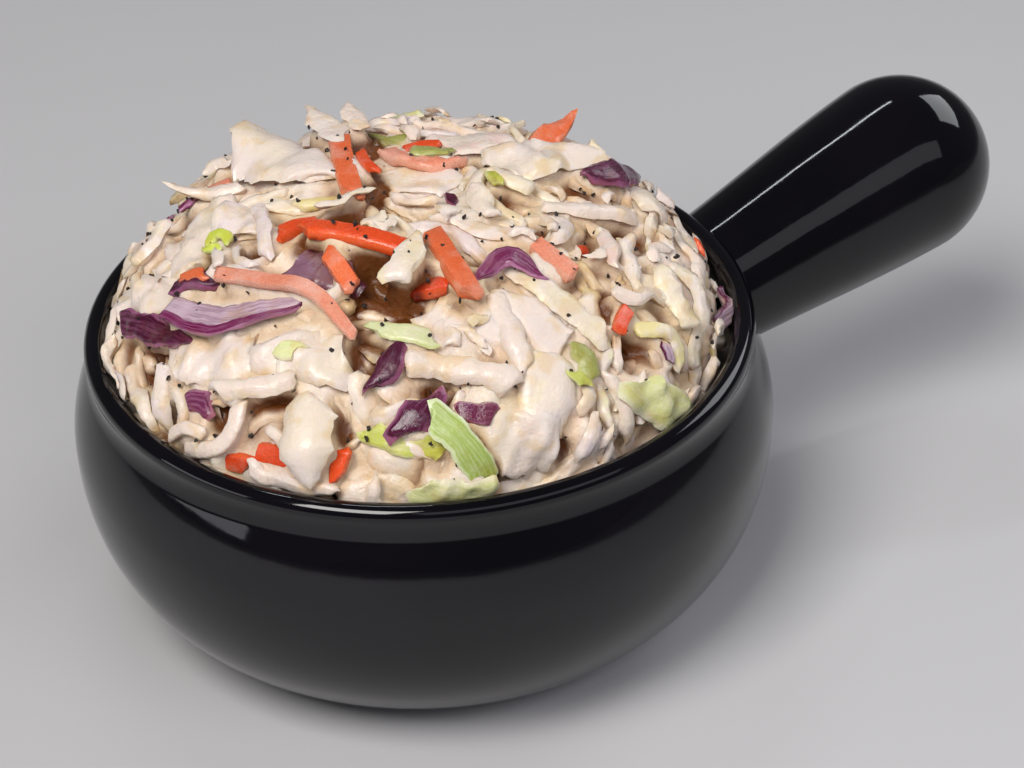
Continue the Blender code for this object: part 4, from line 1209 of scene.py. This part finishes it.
def vegetable_material(name, colours, roughness, fibre, film, soft, cells=0.0, clearness=0.75):
    """Cut vegetable under an uneven film of dressing, with painted shade where it lies deep in the heap.

    fibre is how closely its fibres run, film how much dressing covers it at most, soft how far light
    enters it, cells how fine its cells are and clearness how much of the film is glassy.
    """
    made, tree, place = new_material(name)
    tint = attribute(tree, "tint").outputs["Color"]
    rim = attribute(tree, "rim").outputs["Color"]
    across = attribute(tree, "across").outputs["Fac"]
    along = attribute(tree, "along").outputs["Fac"]
    coat = attribute(tree, "coat").outputs["Fac"]
    lengthwise = add_node(tree, "ShaderNodeCombineXYZ", {
        "X": scaled(tree, along, 0.16), "Y": scaled(tree, across, fibre), "Z": scaled(tree, along, 0.02)})
    strands = noise(tree, lengthwise.outputs[0], scale=1.0, detail=4.0, roughness=0.65)
    patches = noise(tree, place, scale=240.0)
    grit = noise(tree, place, scale=1500.0, roughness=0.6)
    ragged = maths(tree, "ADD", across, scaled(tree, maths(tree, "SUBTRACT", patches, 0.5), 0.4))
    face = mix_colour(tree, ranged(tree, ragged, 0.74, 0.92), tint, rim)
    face = mix_colour(tree, ranged(tree, strands, 0.40, 0.66, 0.0, 0.45), face, rim)
    if cells:
        grain = add_node(tree, "ShaderNodeTexVoronoi", {"Vector": place, "Scale": cells})
        pitted = ranged(tree, grain.outputs["Distance"], 0.1, 0.75, 0.0, 0.35)
        face = mix_colour(tree, pitted, face, CELL_TINT, "MULTIPLY")
    cover = ranged(tree, weighted(tree, (patches, 1.0), (coat, 0.42)), 0.58, 0.86, 0.0, film)
    covered = mix_colour(tree, cover, face, cream_colour(tree, place, colours))
    wet_patches = ranged(tree, noise(tree, place, scale=190.0, detail=2.0), 0.50, 0.66)
    coated = mix_colour(tree, scaled(tree, wet_patches, clearness), covered, CLEAR_TINT, "MULTIPLY")
    wet = ranged(tree, grit, 0.3, 0.75, roughness - 0.08, roughness + 0.12, False)
    relief = weighted(tree, (cover, 0.5), (strands, 0.4), (grit, 0.5), (patches, 0.8))
    return finish_material(made, painted_depth_shade(tree, colours, coated), wet, (relief, 0.5, 0.0005), {
        "IOR": 1.42, "Subsurface Weight": soft, "Subsurface Radius": LIGHT_REACH,
        "Subsurface Scale": 0.001, "Coat Weight": 0.22, "Coat Roughness": 0.14})


def dressing_material(colours):
    """Cream dressing that fills the heap between its shreds, with painted shade where it lies deep."""
    made, tree, place = new_material("cream_dressing")
    lumps = noise(tree, place, scale=420.0, detail=4.0)
    fine = noise(tree, place, scale=1500.0)
    cream = painted_depth_shade(tree, colours, cream_colour(tree, place, colours))
    wet = ranged(tree, fine, 0.3, 0.7, 0.35, 0.55, False)
    relief = weighted(tree, (lumps, 1.0), (fine, 0.3))
    return finish_material(made, cream, wet, (relief, 0.6, 0.0008), {
        "IOR": 1.42, "Subsurface Weight": 0.35, "Subsurface Radius": LIGHT_REACH,
        "Subsurface Scale": 0.0015, "Coat Weight": 0.12, "Coat Roughness": 0.22})


def pepper_material(colours):
    """Cracked black pepper with lighter broken faces."""
    made, tree, place = new_material("cracked_pepper")
    broken = noise(tree, place, scale=1400.0)
    mixed = mix_colour(tree, ranged(tree, broken, 0.55, 0.72), (*colours.pepper, 1.0),
                       shaded(colours.pepper, 7.0))
    return finish_material(made, mixed, ranged(tree, broken, 0.3, 0.7, 0.45, 0.75, False),
                           (broken, 0.7, 0.0002))


def glaze_material(colours):
    """Deep black glaze with the faint waviness of a fired surface."""
    made, tree, place = new_material("black_glaze")
    slow = noise(tree, place, scale=38.0, detail=2.0, roughness=0.4)
    pores = noise(tree, place, scale=420.0, detail=2.0)
    mixed = mix_colour(tree, ranged(tree, slow, 0.3, 0.7), (*colours.glaze, 1.0),
                       shaded(colours.glaze, 1.8))
    relief = weighted(tree, (slow, 1.0), (pores, 0.03))
    return finish_material(made, mixed, ranged(tree, pores, 0.3, 0.7, 0.05, 0.09, False),
                           (relief, 0.35, 0.0008), {"IOR": 1.46})


def clay_material(colours):
    """Bare fired clay of the foot ring."""
    made, tree, place = new_material("bare_clay")
    grains = noise(tree, place, scale=700.0, detail=4.0)
    mixed = mix_colour(tree, grains, shaded(colours.clay, 0.6), (*colours.clay, 1.0))
    return finish_material(made, mixed, ranged(tree, grains, 0.3, 0.7, 0.75, 0.95, False),
                           (grains, 0.5, 0.0003))


def floor_material(settings):
    """Plain pale floor with a faint unevenness."""
    made, tree, place = new_material("pale_floor")
    cloud = noise(tree, place, scale=6.0)
    mixed = mix_colour(tree, cloud, shaded(settings.floor_colour, 0.97), (*settings.floor_colour, 1.0))
    return finish_material(made, mixed, ranged(tree, cloud, 0.3, 0.7, 0.55, 0.65, False))


SALAD = []


def salad_of(scene):
    """The salad, laid once and shared by the operators."""
    if not SALAD:
        SALAD.append(Salad(scene.heap_sizes, scene.crock_sizes))
    return SALAD[0]


def hand_over(made, node):
    """Put a piece on the root body and hide the part of the model that it stands for."""
    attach(made, "root")
    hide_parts(node)


def finish_piece(made, material):
    """Give a piece of the salad its material and hand it to the frame."""
    made.data.materials.clear()
    made.data.materials.append(material)
    hand_over(made, "coleslaw")


def gathered_piece(context, kind, name, material):
    """One object for all pieces of a kind."""
    salad = salad_of(context.scene)
    if kind not in salad.batches:
        raise RuntimeError(f"the salad has no pieces of the kind {kind}")
    finish_piece(link(name, salad.batches[kind].mesh(name, salad.heap, salad.surface)), material)


class SALAD_OT_crock(bpy.types.Operator):
    """Make the glazed crock with its handle."""

    bl_idname = "salad.crock"
    bl_label = "Crock"

    def execute(self, context):
        sizes = context.scene.crock_sizes
        points, faces = lathe(crock_profile(sizes), BODY_STEPS)
        more_points, more_faces = handle_shell(sizes, len(points))
        mesh = bpy.data.meshes.new("glazed_crock")
        mesh.from_pydata(points + more_points, [], faces + more_faces)
        outward(mesh)
        mesh.shade_smooth()
        mesh.set_sharp_from_angle(angle=CROCK_ANGLE)
        colours = context.scene.salad_colours
        mesh.materials.append(glaze_material(colours))
        mesh.materials.append(clay_material(colours))
        ring = sizes.foot_radius - RING_OFFSET * MM
        for face in mesh.polygons:
            low = face.center.z < RING_FLATNESS * MM and face.normal.z < RING_DOWNWARD
            if low and math.hypot(face.center.x, face.center.y) > ring:
                face.material_index = 1
        made = link("glazed_crock", mesh)
        hand_over(made, "crock")
        return {"FINISHED"}


class SALAD_OT_core(bpy.types.Operator):
    """Make the dressed core that fills the crock and shows between the shreds."""

    bl_idname = "salad.core"
    bl_label = "Dressed core"

    def execute(self, context):
        salad = salad_of(context.scene)
        heap = salad.heap
        level = softened(-widened(-widened(heap.level, 2), 4), 3) - CORE_DROP
        turn = np.arange(CORE_STEPS) * 2 * math.pi / CORE_STEPS
        way = np.stack([np.cos(turn), np.sin(turn)], -1)
        rings = []
        for far in np.arange(CORE_PITCH, heap.reach[-1] - 1.0, CORE_PITCH):
            spots = way * far
            base, normals = heap.place(spots)
            ring = base + normals * heap.sample(level, spots)[:, None]
            rings.append(heap.clear_of_wall(ring, CLEARANCE))
        radius, height = heap.hollow
        lowest = height[0] + CLEARANCE
        for z in np.linspace(SIDE_BOTTOM - 2.5, lowest, CORE_RINGS_INSIDE):
            wide = np.interp(z, height, radius) - CLEARANCE
            rings.append(np.stack([wide * way[:, 0], wide * way[:, 1], np.full(CORE_STEPS, z)], -1))
        top = np.array([[*HEAP_CENTRE, heap.height[0] + level[heap.cell(np.zeros(2))]]])
        points = np.concatenate([top] + rings + [[[0.0, 0.0, lowest]]])
        for size, amount in CORE_WAVES:
            points[:-1] = wavering(points[:-1], size, amount)
        points[:-1] = heap.clear_of_wall(points[:-1], CLEARANCE)
        mesh = bpy.data.meshes.new("dressed_core")
        mesh.from_pydata((points * MM).tolist(), [], ring_faces(len(rings), CORE_STEPS))
        # How deep each point lies under the top, which the dressing turns into painted shade
        add_values(mesh, "depth", heap.depth_of(points, salad.surface))
        outward(mesh)
        mesh.shade_smooth()
        finish_piece(link("dressed_core", mesh), dressing_material(context.scene.salad_colours))
        return {"FINISHED"}


class SALAD_OT_cabbage(bpy.types.Operator):
    """Make the fine and the broad shreds and the leaves of white cabbage."""

    bl_idname = "salad.cabbage"
    bl_label = "White cabbage"

    def execute(self, context):
        colours = context.scene.salad_colours
        shred = vegetable_material("white_cabbage", colours, roughness=0.32, fibre=5.0, film=1.0, soft=0.2)
        leaf = vegetable_material("cabbage_leaf", colours, roughness=0.32, fibre=8.0, film=1.0, soft=0.2)
        for kind, name in (("shreds", "cabbage_shreds"), ("cover", "cabbage_cover_shreds"),
                           ("bit", "cabbage_bits"), ("cabbage", "cabbage_strips")):
            gathered_piece(context, kind, name, shred)
        gathered_piece(context, "leaf", "cabbage_leaves", leaf)
        return {"FINISHED"}


class SALAD_OT_carrot(bpy.types.Operator):
    """Make the carrot sticks."""

    bl_idname = "salad.carrot"
    bl_label = "Carrot"

    def execute(self, context):
        colours = context.scene.salad_colours
        flesh = vegetable_material("carrot_flesh", colours, roughness=0.22, fibre=6.0, film=0.22, soft=0.15,
                                   cells=2600.0, clearness=0.0)
        gathered_piece(context, "carrot", "carrot_sticks", flesh)
        return {"FINISHED"}


class SALAD_OT_red_cabbage(bpy.types.Operator):
    """Make the shreds of red cabbage."""

    bl_idname = "salad.red_cabbage"
    bl_label = "Red cabbage"

    def execute(self, context):
        colours = context.scene.salad_colours
        red = vegetable_material("red_cabbage", colours, roughness=0.14, fibre=5.0, film=0.06, soft=0.05)
        gathered_piece(context, "red", "red_cabbage_shreds", red)
        return {"FINISHED"}


class SALAD_OT_greens(bpy.types.Operator):
    """Make the green leaf pieces and the pale stems."""

    bl_idname = "salad.greens"
    bl_label = "Greens and stems"

    def execute(self, context):
        colours = context.scene.salad_colours
        green = vegetable_material("green_leaf", colours, roughness=0.28, fibre=8.0, film=0.35, soft=0.2)
        stem = vegetable_material("pale_stem", colours, roughness=0.28, fibre=2.0, film=0.7, soft=0.4)
        gathered_piece(context, "green", "green_leaf_pieces", green)
        gathered_piece(context, "stem", "pale_stems", stem)
        return {"FINISHED"}


def pepper_tree():
    """Geometry nodes that strew broken grains over a surface."""
    tree = bpy.data.node_groups.new("strewn_pepper", "GeometryNodeTree")
    for name, kind in (("Geometry", "Geometry"), ("Density", "Float"), ("Grain radius", "Float"),
                       ("Seed", "Int"), ("Material", "Material")):
        tree.interface.new_socket(name, in_out="INPUT", socket_type=f"NodeSocket{kind}")
    tree.interface.new_socket("Geometry", in_out="OUTPUT", socket_type="NodeSocketGeometry")
    given = tree.nodes.new("NodeGroupInput").outputs
    strewn = add_node(tree, "GeometryNodeDistributePointsOnFaces",
                      {"Mesh": given["Geometry"], "Density": given["Density"], "Seed": given["Seed"]})
    grain = add_node(tree, "GeometryNodeMeshIcoSphere", {"Radius": given["Grain radius"],
                                                         "Subdivisions": 2})
    size = add_node(tree, "FunctionNodeRandomValue", {"Min": (0.25, 0.22, 0.2), "Max": (1.15, 0.95, 0.8),
                                                      "Seed": given["Seed"]}, data_type="FLOAT_VECTOR")
    turn = add_node(tree, "FunctionNodeRandomValue", {"Max": (6.28, 6.28, 6.28), "Seed": given["Seed"]},
                    data_type="FLOAT_VECTOR")
    put = add_node(tree, "GeometryNodeInstanceOnPoints",
                   {"Points": strewn.outputs["Points"], "Instance": grain.outputs["Mesh"],
                    "Rotation": turn.outputs[0], "Scale": size.outputs[0]})
    real = add_node(tree, "GeometryNodeRealizeInstances", {"Geometry": put.outputs["Instances"]})
    place = tree.nodes.new("GeometryNodeInputPosition").outputs[0]
    broken = add_node(tree, "ShaderNodeTexNoise", {"Vector": place, "Scale": PEPPER_BREAKS,
                                                     "Detail": 1.0})
    centred = add_node(tree, "ShaderNodeVectorMath", {0: broken.outputs["Color"], 1: (0.5, 0.5, 0.5)},
                       operation="SUBTRACT")
    small = add_node(tree, "ShaderNodeVectorMath", {0: centred.outputs[0], "Scale": PEPPER_BROKEN},
                     operation="SCALE")
    moved = add_node(tree, "GeometryNodeSetPosition", {"Geometry": real.outputs[0],
                                                       "Offset": small.outputs[0]})
    worn = add_node(tree, "GeometryNodeSetMaterial", {"Geometry": moved.outputs[0],
                                                      "Material": given["Material"]})
    add_node(tree, "NodeGroupOutput", {"Geometry": worn.outputs[0]})
    return tree


def applied(made):
    """Replace an object's mesh by its evaluated one and drop its modifiers."""
    graph = bpy.context.evaluated_depsgraph_get()
    mesh = bpy.data.meshes.new_from_object(made.evaluated_get(graph))
    made.modifiers.clear()
    made.data = mesh
    return mesh


class SALAD_OT_pepper(bpy.types.Operator):
    """Strew cracked black pepper over the heap."""

    bl_idname = "salad.pepper"
    bl_label = "Pepper"

    def execute(self, context):
        scene = context.scene
        salad = salad_of(scene)
        heap = salad.heap
        sizes = scene.heap_sizes
        reach = FILLER_REACH - PEPPER_MARGIN
        axis = np.arange(-reach, reach + PEPPER_PITCH, PEPPER_PITCH)
        spots = np.stack(np.meshgrid(axis, axis, indexing="ij"), -1)
        base, normals = heap.place(spots)
        level = heap.sample(heap.level, spots)
        points = base + normals * (level + PEPPER_RISE)[..., None]
        count = len(axis)
        near = np.hypot(spots[..., 0], spots[..., 1]) < reach
        faces = []
        for i in range(count - 1):
            for j in range(count - 1):
                if near[i, j] and near[i + 1, j + 1]:
                    low = i * count + j
                    faces.append((low, low + count, low + count + 1, low + 1))
        mesh = bpy.data.meshes.new("pepper_ground")
        mesh.from_pydata((points.reshape(-1, 3) * MM).tolist(), [], faces)
        made = link("pepper_grains", mesh)
        tree = pepper_tree()
        strew = made.modifiers.new("pepper", "NODES")
        strew.node_group = tree
        material = pepper_material(scene.salad_colours)
        values = {"Density": sizes.pepper_density, "Grain radius": sizes.pepper_size, "Seed": sizes.seed,
                  "Material": material}
        for item in tree.interface.items_tree:
            if item.item_type == "SOCKET" and item.in_out == "INPUT" and item.name in values:
                strew[item.identifier] = values[item.name]
        mesh = applied(made)
        outward(mesh)
        mesh.name = "pepper_grains"
        finish_piece(made, material)
        return {"FINISHED"}


def soft_light(name, place, target, size, power, tint=(1.0, 1.0, 1.0)):
    """Area light that looks at a point."""
    data = bpy.data.lights.new(name, "AREA")
    data.shape = "RECTANGLE"
    data.size, data.size_y = size
    data.energy = power
    data.color = tint
    made = link(name, data)
    aim = (Vector(target) - Vector(place)).to_track_quat("-Z", "Y")
    made.matrix_world = Matrix.Translation(place) @ aim.to_matrix().to_4x4()
    return made


class SALAD_OT_stage(bpy.types.Operator):
    """Make the pale floor, the soft light and the camera."""

    bl_idname = "salad.stage"
    bl_label = "Stage"

    def execute(self, context):
        scene = context.scene
        settings = scene.stage_settings
        self.make_floor(settings)
        self.make_light(scene, settings)
        self.make_camera(scene, settings)
        scene.view_settings.view_transform = "Standard"
        return {"FINISHED"}

    def make_floor(self, settings):
        """Wide flat sheet with its far edges bent up out of view."""
        half = 1.6
        flat = 1.3
        count = 33
        axis = np.linspace(-half, half, count)
        points = []
        for x in axis:
            for y in axis:
                away = max(0.0, math.hypot(x, y) - flat)
                points.append((x, y, 0.5 * away * away))
        faces = [(i * count + j, (i + 1) * count + j, (i + 1) * count + j + 1, i * count + j + 1)
                 for i in range(count - 1) for j in range(count - 1)]
        mesh = bpy.data.meshes.new("floor")
        mesh.from_pydata(points, [], faces)
        mesh.shade_smooth()
        mesh.materials.append(floor_material(settings))
        link("floor", mesh)

    def make_light(self, scene, settings):
        """Large key light, side light, soft low lights, a narrow one behind and dim surroundings."""
        heap = (0.0, 0.0, 0.06)
        belly = (0.0, 0.0, 0.05)
        handle_root = (0.09, 0.0, 0.05)
        lilac = (0.94, 0.93, 1.0)
        soft_light("key", (-0.55, -0.35, 0.95), heap, (0.5, 0.5), settings.key_power, (1.0, 0.98, 0.95))
        soft_light("side", (0.75, 0.1, 0.55), heap, (0.5, 0.35), settings.fill_power, (0.95, 0.97, 1.0))
        for width in FRONT_WIDTHS:
            soft_light("front", (0.08, -0.64, 0.60), handle_root, (width, width * FRONT_SHAPE),
                       settings.front_power / len(FRONT_WIDTHS), lilac)
        soft_light("left", (-0.90, 0.12, 0.22), belly, (0.5, 0.22), settings.left_power, lilac)
        soft_light("back", (0.08, 0.40, 0.82), handle_root, (0.34, 0.03), settings.back_power,
                   (0.92, 0.96, 1.0))
        world = bpy.data.worlds.new("surroundings")
        world.use_nodes = True
        back = world.node_tree.nodes["Background"]
        back.inputs["Color"].default_value = (0.86, 0.88, 0.95, 1.0)
        back.inputs["Strength"].default_value = settings.sky
        scene.world = world

    def make_camera(self, scene, settings):
        """Camera at the photograph's angle, its picture taken as 1024 by 768."""
        picture_width = 1024
        focal_pixels = 2744.4
        axis_column = 423.6
        roll = math.radians(-3.07)
        aim_height = 0.04
        azimuth, elevation = settings.camera_azimuth, settings.camera_elevation
        forward = Vector((-math.sin(azimuth) * math.cos(elevation), math.cos(azimuth) * math.cos(elevation),
                          -math.sin(elevation)))
        right = Vector((math.cos(azimuth), math.sin(azimuth), 0.0))
        upward = right.cross(forward)
        place = Vector((0.0, 0.0, aim_height)) - forward * settings.camera_distance
        turn = Matrix((right, upward, -forward)).transposed().to_4x4()
        pan = math.atan((picture_width / 2 - axis_column) / focal_pixels)
        data = bpy.data.cameras.new("camera")
        data.sensor_width = 36.0
        data.lens = focal_pixels / picture_width * data.sensor_width
        data.clip_start = 0.02
        made = link("camera", data)
        made.matrix_world = (Matrix.Translation(place) @ turn @ Matrix.Rotation(roll, 4, "Z")
                             @ Matrix.Rotation(-pan, 4, "Y"))
        scene.camera = made


OPERATORS = (SALAD_OT_crock, SALAD_OT_core, SALAD_OT_cabbage, SALAD_OT_carrot, SALAD_OT_red_cabbage,
             SALAD_OT_greens, SALAD_OT_pepper, SALAD_OT_stage)
GROUPS = {"crock_sizes": CrockSizes, "heap_sizes": HeapSizes, "salad_colours": SaladColours,
          "stage_settings": StageSettings}


class SALAD_PT_panel(bpy.types.Panel):
    """Buttons for each piece, in the order that they are made."""

    bl_idname = "SALAD_PT_panel"
    bl_label = "Coleslaw"
    bl_space_type = "VIEW_3D"
    bl_region_type = "UI"
    bl_category = "Coleslaw"

    def draw(self, context):
        for operator in OPERATORS:
            self.layout.operator(operator.bl_idname, text=operator.bl_label)
        for group in GROUPS:
            settings = getattr(context.scene, group)
            box = self.layout.box()
            for key in settings.__annotations__:
                box.prop(settings, key)


CLASSES = (*GROUPS.values(), *OPERATORS, SALAD_PT_panel)


def register():
    for item in CLASSES:
        bpy.utils.register_class(item)
    for name, group in GROUPS.items():
        setattr(bpy.types.Scene, name, PointerProperty(type=group))


def unregister():
    for name in reversed(GROUPS):
        delattr(bpy.types.Scene, name)
    for item in reversed(CLASSES):
        bpy.utils.unregister_class(item)


def main():
    register()
    bpy.ops.salad.crock()
    bpy.ops.salad.core()
    bpy.ops.salad.cabbage()
    bpy.ops.salad.carrot()
    bpy.ops.salad.red_cabbage()
    bpy.ops.salad.greens()
    bpy.ops.salad.pepper()
    bpy.ops.salad.stage()


if __name__ == "__main__":
    main()
